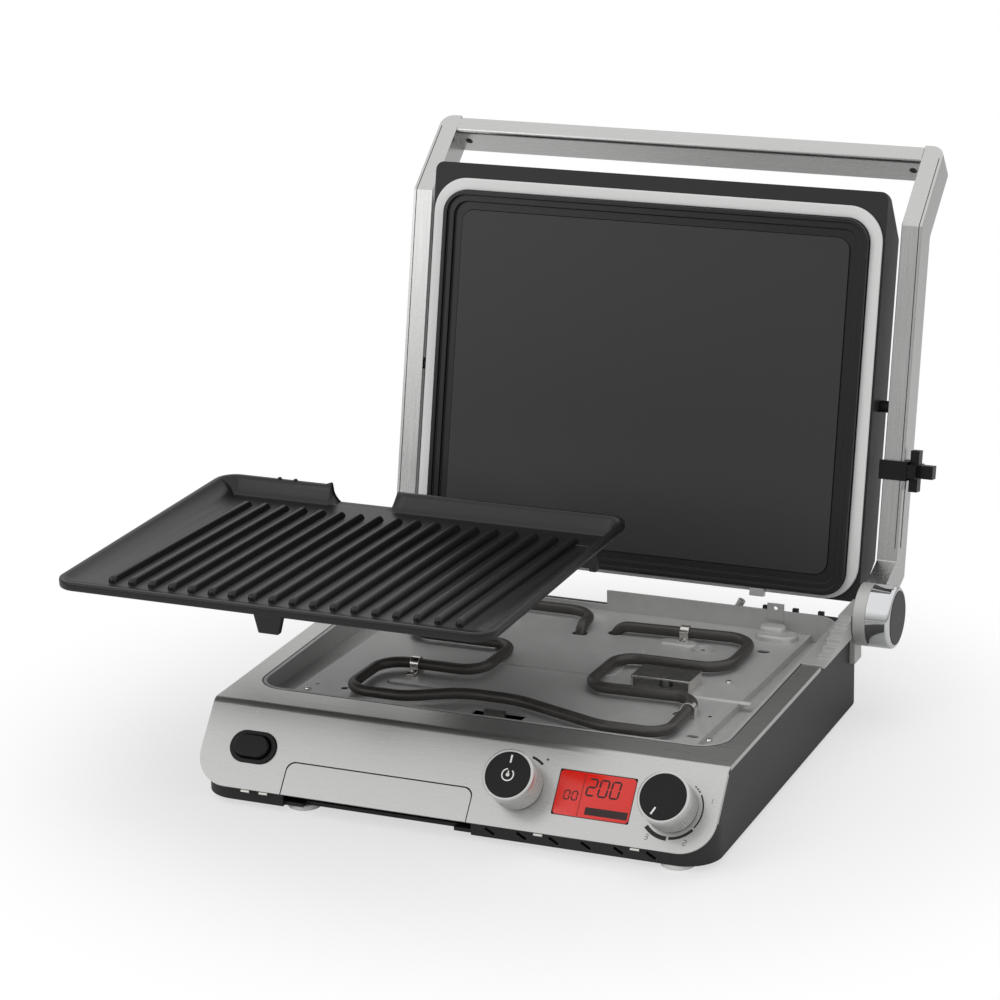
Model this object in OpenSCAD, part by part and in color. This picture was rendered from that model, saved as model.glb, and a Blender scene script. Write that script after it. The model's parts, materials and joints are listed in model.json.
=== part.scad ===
// Indoor contact grill with its lid open and the ribbed plate held above the base.
// Millimetres. The front faces minus Y, the origin is on the table under the middle of the base.

/* [Base] */
// Width of the steel top
body_w = 345; // [340:1:352]
// Depth from the fold of the steel top to the rear wall
body_d = 275; // [274:1:284]
// Height of the steel top above the table
top_h = 58; // [57:1:64]
// Lean of the front fascia from upright, in degrees
fascia_lean = 39.3; // [37:0.1:41]
// Length of the fascia down its slope
fascia_len = 56.6; // [55:0.1:58]
// Radius of the fold between top and fascia
fold_r = 7; // [5:0.5:8]
// Radius of the fascia's lower corners
fascia_corner_r = 22; // [16:1:24]
// Thickness of the steel sheet
sheet_t = 1.2; // [1:0.1:1.5]
// Depth of the hem along the sides of the steel top
hem_h = 3; // [2:0.5:4]
// Wall of the plastic housing
wall_t = 2.5; // [2:0.1:3]
// Radius of the housing's front corners in plan
front_corner_r = 22; // [16:1:24]
// Radius of the housing's rear corners in plan
rear_corner_r = 20; // [14:1:22]
// Thickness of the bottom cover
floor_t = 2.5; // [2:0.1:3]
// Height of the feet
foot_h = 3.5; // [3:0.5:5]
// Radius of the feet
foot_r = 11; // [9:0.5:13]

/* [Pan] */
// Width of the steel strips beside the opening
side_strip = 12.9; // [12.4:0.1:13.4]
// Distance from the fold to the opening
opening_front = 25.5; // [24:0.5:27]
// Corner radius of the opening
opening_r = 20; // [16:1:22]
// Dark gap between the steel and the pan's rim
rim_gap = 0.9; // [0.5:0.1:1.1]
// Visible width of the pan's rim
rim_w = 2.4; // [2:0.1:3]
// Thickness of the pan's sheet
pan_t = 1.2; // [1:0.1:1.4]
// Depth of the pan's floor at the front
pan_front_depth = 5; // [4.5:0.1:6]
// Fall of the pan's floor towards the rear, in degrees
pan_fall = 2.3; // [1.8:0.1:2.5]
// Width of the channels along the pan's sides
channel_w = 19.3; // [17:0.1:22]
// Extra depth of the channels along the pan's sides
channel_depth = 5; // [4:0.5:6]
// Diameter of the heating rod
rod_d = 7.2; // [6.5:0.1:7.6]
// Height of the rod's centre line above the pan floor
rod_lift = 5.4; // [5:0.1:6]

/* [Controls] */
// Distance of the heat knob from the right edge
heat_in = 29.1; // [27.5:0.1:31]
// Distance from the display's left edge to the heat knob
display_to_heat = 75.4; // [73:0.1:78]
// Distance from the timer knob to the display's left edge
timer_to_display = 24.4; // [22:0.1:26]
// Place of both knobs down the fascia
knob_s = 29; // [28:0.1:30]
// Radius of the knobs
knob_r = 16.5; // [15:0.1:17]
// Radius of the black discs on the knobs
knob_face_r = 14.5; // [13:0.1:14.8]
// Height of the knobs
knob_h = 21; // [18:0.5:24]
// Radius of the control shafts
shaft_r = 3; // [2.5:0.1:3.5]
// Upper edge of the display down the fascia
display_s = 14.5; // [14:0.5:15]
// Width of the display
display_w = 50; // [48:0.5:51]
// Height of the display
display_h = 29; // [27:0.5:29]
// Distance of the release button from the left edge
button_in = 35.5; // [34:0.5:37]
// Width of the release button
button_w = 24; // [22:0.5:25]
// Height of the release button
button_h = 15; // [13:0.5:16]
// Travel of the release button
button_travel = 3; // [2:0.5:3.5]

/* [Drip drawer] */
// Distance of the drawer door from the left edge
door_in = 61.1; // [60:0.2:62.5]
// Width of the drawer door
door_w = 126.8; // [124:0.2:128]
// Upper edge of the door down the fascia
door_s = 34.5; // [34:0.5:35.5]
// Wall of the drip tray
tray_t = 1.5; // [1.2:0.1:2]
// Height of the drip tray
tray_h = 18; // [16:0.5:18.5]

/* [Hinge] */
// Height of the hinge axis above the steel top
hinge_up = 10; // [9.5:0.1:11]
// Distance from the hinge axis to the rear wall
hinge_in = 17.3; // [16.5:0.1:18]
// Radius of the hinge barrels
barrel_r = 21; // [19:0.1:21.2]
// Distance from the side edge in to a bracket's inner face
bracket_in = 14.5; // [13.6:0.1:14.9]
// Length of the brackets, from the rear wall
bracket_len = 95; // [91:1:99]
// Thickness of the brackets
bracket_t = 17; // [16:0.1:17]
// Width of the matte part of a barrel
barrel_w = 8.4; // [8:0.1:9]
// Width of the bright part of a barrel
cap_w = 16.5; // [15:0.1:18]
// Radius of the hinge pins
axle_r = 3; // [2.6:0.1:3.2]

/* [Lid] */
// Lean of the open lid, in degrees
lid_lean = 12.1; // [11.5:0.1:13]
// Distance of the lid's ring plane behind the hinge axis
ring_back = 31; // [30.5:0.1:32]
// Distance from the side edge in to the lid's side
lid_in = 8.5; // [8:0.1:9]
// Lower edge of the lid housing along its slope
lid_v0 = 14.5; // [14:0.1:15]
// Reach of the lid past the depth of the base
lid_reach = 15; // [13:0.5:17]
// Depth of the lid housing
lid_deep = 34; // [32:0.5:35]
// Wall of the lid housing
lid_t = 3; // [2.5:0.1:3.2]
// Step from the lid's side to the bright ring
ring_in = 1.5; // [1:0.1:2]
// Step from the lid's upper edge to the bright ring
ring_top_in = 10.3; // [9:0.1:11]
// Outer corner radius of the bright ring
ring_r = 24; // [20:0.5:25]
// Width of the bright ring's band
ring_band = 8.3; // [8:0.1:8.5]
// Width of the stepped edge round the upper plate's flat field
field_in = 13; // [12:0.1:15]
// Height of the upper plate's lip in front of the ring plane
lip_h = 5.5; // [5:0.1:6]

/* [Arms and handle] */
// Gap between the lid's side and the arms
arm_gap = 6.9; // [6.5:0.1:7.5]
// Thickness of the arms
arm_w = 14.2; // [13.5:0.1:14.5]
// Depth of the arms
arm_d = 22; // [21:0.1:23]
// Setback of the arms' front faces behind the ring plane
arm_back = 13; // [12.5:0.1:13.5]
// Distance of the arms' upper bend below the lid's upper edge
bend_below = 21; // [19:0.5:23]
// Length of the leaning upper part
arm_top_len = 69.2; // [66:0.2:72]
// Lean of the upper part from upright, in degrees
arm_top_lean = 52; // [50:0.5:54]
// Radius of the arms' outer corners at the handle
arm_corner_r = 9; // [6:0.5:12]
// Height of the handle bar along the arms
handle_h = 13.7; // [12.5:0.1:15]
// Distance of the lid's pivot pins below its middle
pivot_below = 5.75; // [4:0.25:7]
// Radius of the lid's pivot pins
pivot_r = 4; // [3.5:0.1:4.2]

/* [Ribbed plate] */
// Play of the ribbed plate at each side of the pan
plate_side_play = 8.8; // [7.3:0.1:9.8]
// Play of the ribbed plate at the pan's front and rear
plate_end_play = 3.7; // [2.7:0.1:4.7]
// Height of the skirt below the rim
skirt_h = 5.7; // [5:0.1:6.5]
// Thickness of the ribbed plate's floor
ribbed_t = 3; // [2.6:0.1:3.2]
// Depth of the food side at the front
food_front = 2.8; // [2.6:0.1:3.2]
// Depth of the food side at the rear
food_rear = 11.8; // [11:0.1:12]
// Number of ribs
rib_count = 18; // [12:1:18]
// Spacing of the ribs
rib_pitch = 13.8; // [13:0.1:13.9]
// Height of the ribs
rib_h = 4; // [3:0.1:4.5]

/* [Hidden] */
$fn = 64;

// Clearances
run_gap = 0.05;
slide_gap = 0.3;
seam = 0.6;
lap = 1;

// Base, measured from the fold line: y to the rear, z up from the steel top
fold_angle = 90 - fascia_lean;
fascia_run = fascia_len * sin(fascia_lean);
fascia_drop = fascia_len * cos(fascia_lean);
fold_y = -(body_d - fascia_run) / 2;
fold_tangent = fold_r * tan(fold_angle / 2);
base_z = foot_h - top_h;
floor_top = base_z + floor_t;
side_gap = 0.1;
housing_half = body_w / 2 - sheet_t - side_gap;
housing_front = -30;
housing_skin = sheet_t + side_gap;
opening_w = body_w - 2 * side_strip;
pan_half = opening_w / 2 - rim_gap - rim_w;
well_half = pan_half + pan_t + slide_gap;
well_front = opening_front + rim_gap + rim_w - pan_t - slide_gap;
well_back = body_d - 3.3;
deep = 200;
strip_len = body_d - bracket_len;
heat_x = body_w / 2 - heat_in;
display_x = heat_x - display_to_heat;
timer_x = display_x - timer_to_display;
button_x = button_in - body_w / 2;
door_x0 = door_in - body_w / 2;
door_x1 = door_x0 + door_w;

// Pan, on its own sloping floor
pan_y0 = well_front + slide_gap + pan_t;
pan_y1 = well_back - slide_gap - pan_t;
pan_mid_y = (pan_y0 + pan_y1) / 2;
pan_len = pan_y1 - pan_y0;
plateau_half = pan_half - channel_w;
pan_r = 16;

// Cut in the rear edge, left of the middle
rear_cut_x0 = -100;
rear_cut_x1 = -10;
rear_cut_h = 10.5;

// Heating rod, as the corners of its route with a bend radius each
rod_route = [[22, from_rear(43.2)], [from_right(45.3), from_rear(37.2)], [from_right(44.3), from_mid(17.5)],
    [39, from_mid(16.5)], [39, from_mid(-45.5)], [from_right(41.3), from_mid(-42.5)],
    [from_right(38.3), from_front(9.2)], [from_right(80.3), from_front(8.2)], [10, from_front(33.2)],
    [-28, from_front(33.2)], [-60, from_front(13.2)], [from_left(55.3), from_front(13.2)],
    [from_left(55.3), from_mid(-45.5)], [-34, from_mid(-45.5)], [-34, from_mid(13.5)],
    [from_left(43.3), from_mid(13.5)], [from_left(43.3), from_rear(22.2)], [-9, from_rear(22.2)],
    [-9, from_rear(44.2)]];
rod_bends = [0, 19, 18, 15, 15, 16, 14, 40, 60, 40, 30, 16, 18, 16, 14, 18, 20, 18, 0];
rod_elbow_r = 9;
// Half length of the collars where the rod's stretches join
collar = 0.3;
rod_r = rod_d / 2;

// Controls
board_out = -12.4;
board_t = 1.6;
board_x0 = timer_x - 15.6;
board_x1 = heat_x + 14.6;
board_s0 = 8;
board_s1 = 50;

// Latch behind the front wall, pushed by the button's stem
latch_y = 5;
latch_z = -20;
latch_t = 4;
tongue_x = -4;
tongue_w = 14;
tooth_y = pan_y0 + 11.2;
guide_y = latch_y + 9;
stem_r = 3;
stem_y = -knob_s * sin(fascia_lean) + stem_r * sin(fascia_lean);
stem_len = (latch_y - slide_gap - stem_y) / cos(fascia_lean);

// Drawer
tray_x0 = door_x0 + 2;
tray_x1 = door_x1 - 2;
tray_y0 = -12;
tray_y1 = body_d - wall_t - 5;
tray_z0 = floor_top + 1.5;
runner_t = 1.2;

// Hinge and lid, the lid in its own frame: v up its slope, w out of its face
hinge_y = body_d - hinge_in;
bracket_x0 = body_w / 2 - bracket_in;
bracket_x1 = bracket_x0 + bracket_t;
bracket_x2 = bracket_x0 + 8;
barrel_x0 = bracket_x1 + 0.6;
barrel_x1 = barrel_x0 + barrel_w;
cap_x1 = barrel_x1 + cap_w;
disc_t = 1.6;
axle_x1 = cap_x1 - 4;
axis_v = 12.4;
ring_y = hinge_y - axis_v * sin(lid_lean) + ring_back * cos(lid_lean);
ring_z = hinge_up - axis_v * cos(lid_lean) - ring_back * sin(lid_lean);
lid_front = -1.5;
lid_half = body_w / 2 - lid_in;
lid_v1 = body_d + lid_reach;
ring_half = lid_half - ring_in;
ring_v1 = lid_v1 - ring_top_in;
plate_half = ring_half - ring_band - 0.3;
plate_v0 = 17.6;
plate_v1 = ring_v1 - ring_band - 0.3;
plate_mid = (plate_v0 + plate_v1) / 2;
plate_len = plate_v1 - plate_v0;
plate_back = -7;
ring_v0 = 15;
lid_rod_x = plate_half - 48.9;
lid_rod_low = plate_v0 + 42.4;
lid_rod_high = plate_v1 - 46.1;
lid_rod_route = [[20, lid_rod_low], [lid_rod_x, lid_rod_low], [lid_rod_x, plate_mid - 34.35],
    [40, plate_mid - 34.35], [40, plate_mid + 35.65], [lid_rod_x, plate_mid + 35.65], [lid_rod_x, lid_rod_high],
    [-lid_rod_x, lid_rod_high], [-lid_rod_x, plate_mid + 35.65], [-40, plate_mid + 35.65],
    [-40, plate_mid - 34.35], [-lid_rod_x, plate_mid - 34.35], [-lid_rod_x, lid_rod_low], [-20, lid_rod_low]];
lid_rod_bends = [0, 18, 18, 18, 18, 18, 18, 18, 18, 18, 18, 18, 18, 0];
lid_chamfer = 32;
element_w = -13;
pivot_w = -18;

// Arms, as the front edge of their side outline
arm_x0 = lid_half + arm_gap;
arm_bend = lid_v1 - bend_below;
pivot_v = (lid_v0 + lid_v1) / 2 - pivot_below;
arm_kink = arm_top_lean - lid_lean;
arm_foot_v = 43;
arm_tip = [arm_bend + arm_top_len * cos(arm_kink), -arm_back - arm_top_len * sin(arm_kink)];
arm_edge = [[19, 26], [arm_foot_v, -arm_back], [arm_bend, -arm_back], arm_tip];
arm_x1 = arm_x0 + arm_w;
arm_reach = 24;

// Height stop on the right arm
stop_v = 105;
stop_h = 13;
stop_w = -20;
stop_travel = 45;
stop_x = arm_x1 + 2.9;
knob_arm = 14;
knob_bar = 9;

// Ribbed plate: held above the base, and down on it
ribbed_at = [-99.6, 49.7, 92.2];
ribbed_w = 2 * (pan_half - plate_side_play);
ribbed_d = pan_len - 2 * plate_end_play;
ribbed_r = 14;
wall_in = 14;
rim_in = 3.5;

function unit(v) = v / norm(v);
function side(u) = [-u.y, u.x];
function bend_angle(a, b, c) = acos(unit(b - a) * unit(c - b));
function trim(route, bends, i) = bends[i] == 0 ? 0
    : bends[i] * tan(bend_angle(route[i - 1], route[i], route[i + 1]) / 2);
function mitre(a, b, c) = let(m = side(unit(b - a)), n = side(unit(c - b))) (m + n) / (1 + m * n);
function beside(edge, d) = [for (i = [0 : len(edge) - 1])
    i == 0 ? edge[0] + d * side(unit(edge[1] - edge[0]))
    : i == len(edge) - 1 ? edge[i] + d * side(unit(edge[i] - edge[i - 1]))
    : edge[i] + d * mitre(edge[i - 1], edge[i], edge[i + 1])];
function flip(list) = [for (i = [len(list) - 1 : -1 : 0]) list[i]];
function from_right(d) = pan_half - d;
function from_left(d) = d - pan_half;
function from_front(d) = pan_y0 + d;
function from_mid(d) = pan_mid_y + d;
function from_rear(d) = pan_y1 - d;
function floor_z(y) = -pan_front_depth - (y - pan_y0) * tan(pan_fall);

// Frames of reference
module from_fold() translate([0, fold_y, top_h]) children();
module on_fascia(x, s, out = 0)
    from_fold() rotate([fold_angle, 0, 0]) translate([x, -s, out]) children();
module on_slope(x, y, up = 0)
    from_fold() translate([0, pan_y0, -pan_front_depth]) rotate([-pan_fall, 0, 0])
        translate([x, y - pan_y0, up]) children();
module on_lid() from_fold() translate([0, ring_y, ring_z]) rotate([90 - lid_lean, 0, 0]) children();
module span(x0, x1) rotate([90, 0, 90]) translate([0, 0, x0]) linear_extrude(x1 - x0) children();
module along_x(x0, x1, r) translate([x0, 0, 0]) rotate([0, 90, 0]) cylinder(h = x1 - x0, r = r);
module at_hinge() from_fold() translate([0, hinge_y, hinge_up]) children();
module both_sides() {
    children();
    mirror([1, 0, 0]) children();
}

// Common shapes
module rounded(w, d, r) {
    square([w - 2 * r, d], center = true);
    square([w, d - 2 * r], center = true);
    for (sx = [-1, 1], sy = [-1, 1]) translate([sx * (w / 2 - r), sy * (d / 2 - r)]) circle(r);
}
module slab(w, d, h, r) linear_extrude(h) rounded(w, d, r);
module pill(w, d, h) {
    translate([-(w - d) / 2, -d / 2, 0]) cube([w - d, d, h]);
    for (sx = [-1, 1]) translate([sx * (w - d) / 2, 0, 0]) cylinder(h = h, d = d);
}
module tube(h, r, bore) difference() {
    cylinder(h = h, r = r);
    translate([0, 0, -lap]) cylinder(h = h + 2 * lap, r = bore);
}
module above_fascia(depth) on_fascia(-body_w, fascia_len * 2, -depth)
    cube([2 * body_w, 3 * fascia_len, 2 * fascia_len]);
module run(a, b, r) translate([a.x, a.y, 0]) rotate([0, 0, atan2(b.y - a.y, b.x - a.x)]) {
    along_x(collar / 3, norm(b - a) - collar / 3, r);
    along_x(-collar, collar, r + run_gap / 2);
    along_x(norm(b - a) - collar, norm(b - a) + collar, r + run_gap / 2);
}
module bend(a, b, c, r, rod) {
    u = unit(b - a);
    v = unit(c - b);
    turn = sign(cross(u, v));
    reach = r * tan(bend_angle(a, b, c) / 2);
    mid = b - u * reach + turn * r * side(u);
    from = turn > 0 ? -side(u) : side(v);
    translate([mid.x, mid.y, 0]) rotate([0, 0, atan2(from.y, from.x)])
        rotate_extrude(angle = bend_angle(a, b, c)) translate([r, 0]) circle(rod);
}
module elbow(a, b) translate([a.x, a.y, 0]) rotate([0, 0, atan2(a.y - b.y, a.x - b.x)])
    translate([0, 0, -rod_elbow_r]) rotate([90, 0, 0]) rotate_extrude(angle = 90)
        translate([rod_elbow_r, 0]) circle(rod_r);
module leg(a, b, down) {
    out = unit(a - b) * rod_elbow_r;
    translate([a.x + out.x, a.y + out.y, -rod_elbow_r - down]) {
        cylinder(h = down - collar / 3, r = rod_r);
        translate([0, 0, down - collar]) cylinder(h = 2 * collar, r = rod_r + run_gap / 2);
    }
}
module rod(route, bends, down) {
    last = len(route) - 1;
    for (i = [0 : last - 1]) {
        u = unit(route[i + 1] - route[i]);
        run(route[i] + u * trim(route, bends, i), route[i + 1] - u * trim(route, bends, i + 1), rod_r);
    }
    for (i = [1 : last - 1]) bend(route[i - 1], route[i], route[i + 1], bends[i], rod_r);
    elbow(route[0], route[1]);
    elbow(route[last], route[last - 1]);
    leg(route[0], route[1], down);
    leg(route[last], route[last - 1], down);
}

// Steel top with its folded fascia
module sheet_outline() {
    translate([fold_tangent, -sheet_t]) square([strip_len - fold_tangent, sheet_t]);
    rotate(270 - fascia_lean) translate([fold_tangent, 0]) square([fascia_len - fold_tangent, sheet_t]);
    translate([fold_tangent, -fold_r]) intersection() {
        difference() {
            circle(fold_r);
            circle(fold_r - sheet_t);
        }
        polygon([[0, 0], [0, 2 * fold_r], [-2 * fold_tangent, 2 * fold_r],
            [-2 * fold_r * sin(fold_angle), 2 * fold_r * cos(fold_angle)]]);
    }
}
module corner_cut(r) difference() {
    translate([-r, -lap]) square([r + lap, r + lap]);
    translate([-r, r]) circle(r);
}
module opening_cut(w, y0, y1, z0, z1, r) from_fold() translate([0, (y0 + y1) / 2, z0])
    slab(w, y1 - y0, z1 - z0, r);
module door_cut(grow, depth) on_fascia((door_x0 + door_x1) / 2, 0, -depth) linear_extrude(2 * depth)
    translate([0, -(door_s + fascia_len + lap) / 2]) {
        square([door_x1 - door_x0 + 2 * grow - 12, fascia_len + lap - door_s + 2 * grow], center = true);
        translate([0, -3]) square([door_x1 - door_x0 + 2 * grow, fascia_len + lap - door_s - 6 + 2 * grow],
            center = true);
        for (sx = [-1, 1])
            translate([sx * ((door_x1 - door_x0) / 2 + grow - 6), (fascia_len + lap - door_s) / 2 + grow - 6])
                circle(6);
    }
module steel_top() color("silver") difference() {
    union() {
        from_fold() span(-body_w / 2, body_w / 2) sheet_outline();
        from_fold() both_sides() translate([body_w / 2 - sheet_t, fold_tangent, -hem_h])
            cube([sheet_t, strip_len - fold_tangent, hem_h - sheet_t]);
        both_sides() on_fascia(body_w / 2 - sheet_t, fascia_len - fascia_corner_r, -hem_h)
            cube([sheet_t, fascia_len - fascia_corner_r - fold_tangent, hem_h - sheet_t]);
    }
    opening_cut(opening_w, opening_front, body_d + opening_r * 2, -lap - hem_h, lap, opening_r);
    both_sides() on_fascia(body_w / 2, fascia_len, -hem_h - lap) linear_extrude(hem_h + 2 * lap)
        corner_cut(fascia_corner_r);
    door_cut(0, 2 * sheet_t);
    on_fascia(display_x + display_w / 2, display_s + display_h / 2, -lap - sheet_t)
        slab(display_w + 2 * run_gap, display_h + 2 * run_gap, sheet_t + 2 * lap, 1);
    on_fascia(button_x, knob_s, -lap - sheet_t) pill(button_w + 8.4, button_h + 6.4, sheet_t + 2 * lap);
    for (x = [timer_x, heat_x]) on_fascia(x, knob_s, -lap - sheet_t)
        cylinder(h = sheet_t + 2 * lap, r = shaft_r + 2);
}
module fascia_clips() color("lightgray") for (x = [-135.7, -88.1 - 35, 62.5, 125])
    on_fascia(x - 3, fascia_len + 1.6, -sheet_t - 2.5) cube([6, 1.5, 2.5]);

// Housing
module housing_block(inset, z0, z1) from_fold() {
    y0 = housing_front + inset;
    y1 = body_d - inset;
    half = housing_half - inset;
    fr = front_corner_r - inset;
    rr = rear_corner_r - inset;
    translate([0, 0, z0]) linear_extrude(z1 - z0) {
        translate([-half, y0 + fr]) square([2 * half, y1 - rr - y0 - fr]);
        translate([-half + fr, y0]) square([2 * (half - fr), fr]);
        translate([-half + rr, y1 - rr]) square([2 * (half - rr), rr]);
        for (sx = [-1, 1]) {
            translate([sx * (half - fr), y0 + fr]) circle(fr);
            translate([sx * (half - rr), y1 - rr]) circle(rr);
        }
    }
}
boss_r = 5;
boss_x = housing_half - wall_t - boss_r + 0.6;
boss_ys = [2, body_d / 2, body_d - 26];
boss_bore = 1.5;
module bosses(h0, h1, r) from_fold() for (sx = [-1, 1], y = boss_ys)
    translate([sx * boss_x, y, h0]) cylinder(h = h1 - h0, r = r);
module vent_slots() from_fold() for (x = [28.5 : 21 : 140])
    translate([x, housing_front, base_z + 4.2]) rotate([0, 30, 0]) cube([7, 3 * wall_t, 1.8], center = true);
module rear_cut() from_fold() translate([rear_cut_x0, pan_y1 - 8, -rear_cut_h])
    cube([rear_cut_x1 - rear_cut_x0, 40, rear_cut_h + lap]);
board_posts = [[board_x0 + 4, board_s0 + 4], [board_x1 - 4, board_s0 + 4], [board_x0 + 4, board_s1 - 5],
    [board_x1 - 4, board_s1 - 5]];
module fold_relief() from_fold() translate([0, fold_tangent, -fold_r]) rotate([fold_angle / 2, 0, 0])
    translate([-body_w, -4, fold_r - housing_skin - 0.2]) cube([2 * body_w, 8, 5]);
module latch_guide(x, w) from_fold() difference() {
    translate([x - 3, guide_y, latch_z - 2]) cube([w + 6, 9, -latch_z + 2 - housing_skin - lap]);
    translate([x - slide_gap, guide_y - lap, latch_z - slide_gap])
        cube([w + 2 * slide_gap, 9 + 2 * lap, latch_t + 2 * slide_gap]);
}
module base_housing() color("#3a3a3c") difference() {
    union() {
        difference() {
            housing_block(0, base_z, -housing_skin);
            difference() {
                housing_block(wall_t, base_z - lap, -housing_skin - wall_t);
                above_fascia(housing_skin + wall_t);
            }
        }
        bosses(floor_top, -housing_skin - lap, boss_r);
        for (p = board_posts) on_fascia(p.x, p.y, board_out)
            cylinder(h = -board_out - housing_skin - lap, r = 2.5);
        from_fold() for (x = [102, 123, 141]) translate([x, body_d - 3, -housing_skin - lap])
            cube([4, 2.6, 3.2 + lap]);
        latch_guide(button_x - 4, 8);
        latch_guide(tongue_x, tongue_w);
    }
    above_fascia(housing_skin);
    fold_relief();
    opening_cut(2 * well_half, well_front, well_back, -30, lap, pan_r + 1.5);
    difference() {
        door_cut(seam / 2, 14);
        from_fold() translate([-body_w / 2, 0, -deep / 2]) cube([body_w, deep, deep]);
    }
    from_fold() translate([door_x0 - seam, housing_front - 3 * wall_t, base_z - lap])
        cube([door_x1 - door_x0 + 2 * seam, -housing_front, -fascia_drop - base_z + 6]);
    on_fascia(display_x - seam, display_s + display_h + seam, -wall_t - 3)
        cube([display_w + 2 * seam, display_h + 2 * seam, wall_t + 6]);
    on_fascia(button_x, knob_s, -wall_t - 3) pill(button_w + 4, button_h + 4, wall_t + 6);
    for (x = [timer_x, heat_x]) on_fascia(x, knob_s, -wall_t - 3) cylinder(h = wall_t + 6, r = shaft_r + 3);
    bosses(base_z, floor_top + 14, boss_bore);
    vent_slots();
    rear_cut();
    from_fold() translate([gland_x, body_d + lap, gland_z]) rotate([90, 0, 0])
        cylinder(h = 2 * wall_t + lap, r = gland_r + run_gap);
    from_fold() translate([conduit_x, body_d + lap, conduit_z]) rotate([90, 0, 0])
        cylinder(h = 2 * wall_t + lap, r = conduit_r + 1 + run_gap);
}
foot_places = [[-104, -15], [147, -19], [-148, body_d - 25], [148, body_d - 25]];
foot_pin_r = 3.5;
finger_y = housing_front + 16;
module bottom_cover() color("#2e2e30") difference() {
    union() {
        housing_block(wall_t + slide_gap, base_z, floor_top);
        from_fold() for (p = power_posts) translate([p.x, p.y, base_z + lap])
            cylinder(h = power_z - base_z - lap, r = 3);
    }
    bosses(base_z - lap, floor_top + lap, 2);
    bosses(base_z - lap, base_z + 1.5, 3.4);
    from_fold() for (p = foot_places) translate([p.x, p.y, base_z - lap])
        cylinder(h = floor_t + 2 * lap, r = foot_pin_r + run_gap);
    from_fold() translate([door_x0 + 12, housing_front - lap, base_z - lap])
        cube([door_x1 - door_x0 - 24, finger_y - housing_front - 7, floor_t + 2 * lap]);
    above_fascia(housing_skin + wall_t);
}
module feet() color("whitesmoke") from_fold() for (p = foot_places) translate([p.x, p.y, -top_h]) {
    cylinder(h = foot_h, r = foot_r);
    translate([0, 0, foot_h]) cylinder(h = floor_t, r = foot_pin_r);
}
module screw(head_r, head_h, shank_r, length) {
    difference() {
        cylinder(h = head_h, r = head_r);
        for (a = [0, 90]) rotate([0, 0, a]) translate([-head_r * 0.6, -head_r * 0.12, -lap])
            cube([head_r * 1.2, head_r * 0.24, lap + head_h * 0.4]);
    }
    translate([0, 0, head_h]) cylinder(h = length, r = shank_r);
}
module bottom_screws() color("gray") from_fold() for (sx = [-1, 1], y = boss_ys)
    translate([sx * boss_x, y, base_z + 0.1]) screw(3, 1.4, 1.46, 12);

// Heater pan
module pan_outline(drop) polygon([[-deep, deep], [-deep, floor_z(-deep) - drop],
    [2 * deep, floor_z(2 * deep) - drop], [2 * deep, deep]]);
module pan_block(x0, x1, grow, drop) intersection() {
    translate([0, pan_mid_y, -deep / 2]) slab(2 * (pan_half + grow), pan_len + 2 * grow, deep, pan_r + grow);
    span(x0, x1) pan_outline(drop);
}
module pan_body(grow, drop) from_fold() {
    pan_block(-plateau_half - lap, plateau_half + lap, grow, drop);
    for (sx = [0, 1]) mirror([sx, 0, 0])
        pan_block(plateau_half - grow, pan_half + grow, grow, drop + channel_depth);
}
latch_slot = [-14, 21, from_front(10.2), from_front(22.2)];
drain = [-64, -22, from_rear(14.2), from_rear(5.2)];
emboss_h = 1.2;
rod_hole_gap = 1.6;
pad_x = -2;
pad_y = from_mid(24.5);
ring_spot = [from_right(76.3), from_rear(56.2)];
module heater_pan() color("#9a9b9c") difference() {
    union() {
        intersection() {
            pan_body(pan_t, pan_t);
            from_fold() translate([-deep, 0, -deep]) cube([2 * deep, 2 * deep, deep]);
        }
        difference() {
            opening_cut(opening_w - 2 * rim_gap, opening_front + rim_gap, well_back - slide_gap, -pan_t, 0,
                opening_r - rim_gap);
            opening_cut(2 * pan_half, pan_y0, pan_y1 + pan_t, -lap - pan_t, lap, pan_r);
        }
    }
    difference() {
        pan_body(0, 0);
        on_slope(pad_x, pad_y, -lap) slab(92, 72, emboss_h + lap, 10);
        on_slope(ring_spot.x, ring_spot.y, -lap) tube(emboss_h + lap, 7, 5);
    }
    rear_cut();
    on_slope(latch_slot[0], latch_slot[2], -2 * pan_t) cube([latch_slot[1] - latch_slot[0],
        latch_slot[3] - latch_slot[2], 3 * pan_t]);
    on_slope(drain[0], drain[2], -2 * pan_t) cube([drain[1] - drain[0], drain[3] - drain[2], 3 * pan_t]);
    on_slope(sensor_x, sensor_y, -2 * pan_t) cylinder(h = 4 * pan_t, r = 4.5);
    for (p = [rod_route[0] - [rod_elbow_r, 0], rod_route[18] - [0, rod_elbow_r]])
        on_slope(p.x, p.y, -2 * pan_t) cylinder(h = 4 * pan_t, r = rod_r + rod_hole_gap);
    for (p = [[from_right(38.3), from_rear(44.2), 9, 5], [from_right(26.3), from_front(25.2), 8, 4],
        [from_left(48.3), from_front(27.2), 5, 5]])
        on_slope(p.x, p.y, -2 * pan_t) pill(p[2] + 0.1, p[3], 3 * pan_t);
    from_fold() translate([bracket_hook_x, pan_y1 - lap, -rear_hook_drop])
        cube([rear_hook_w, 6, rear_hook_drop + lap]);
}
module lower_element() color("#3c3836") on_slope(0, 0, rod_lift) rod(rod_route, rod_bends, 7);

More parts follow.
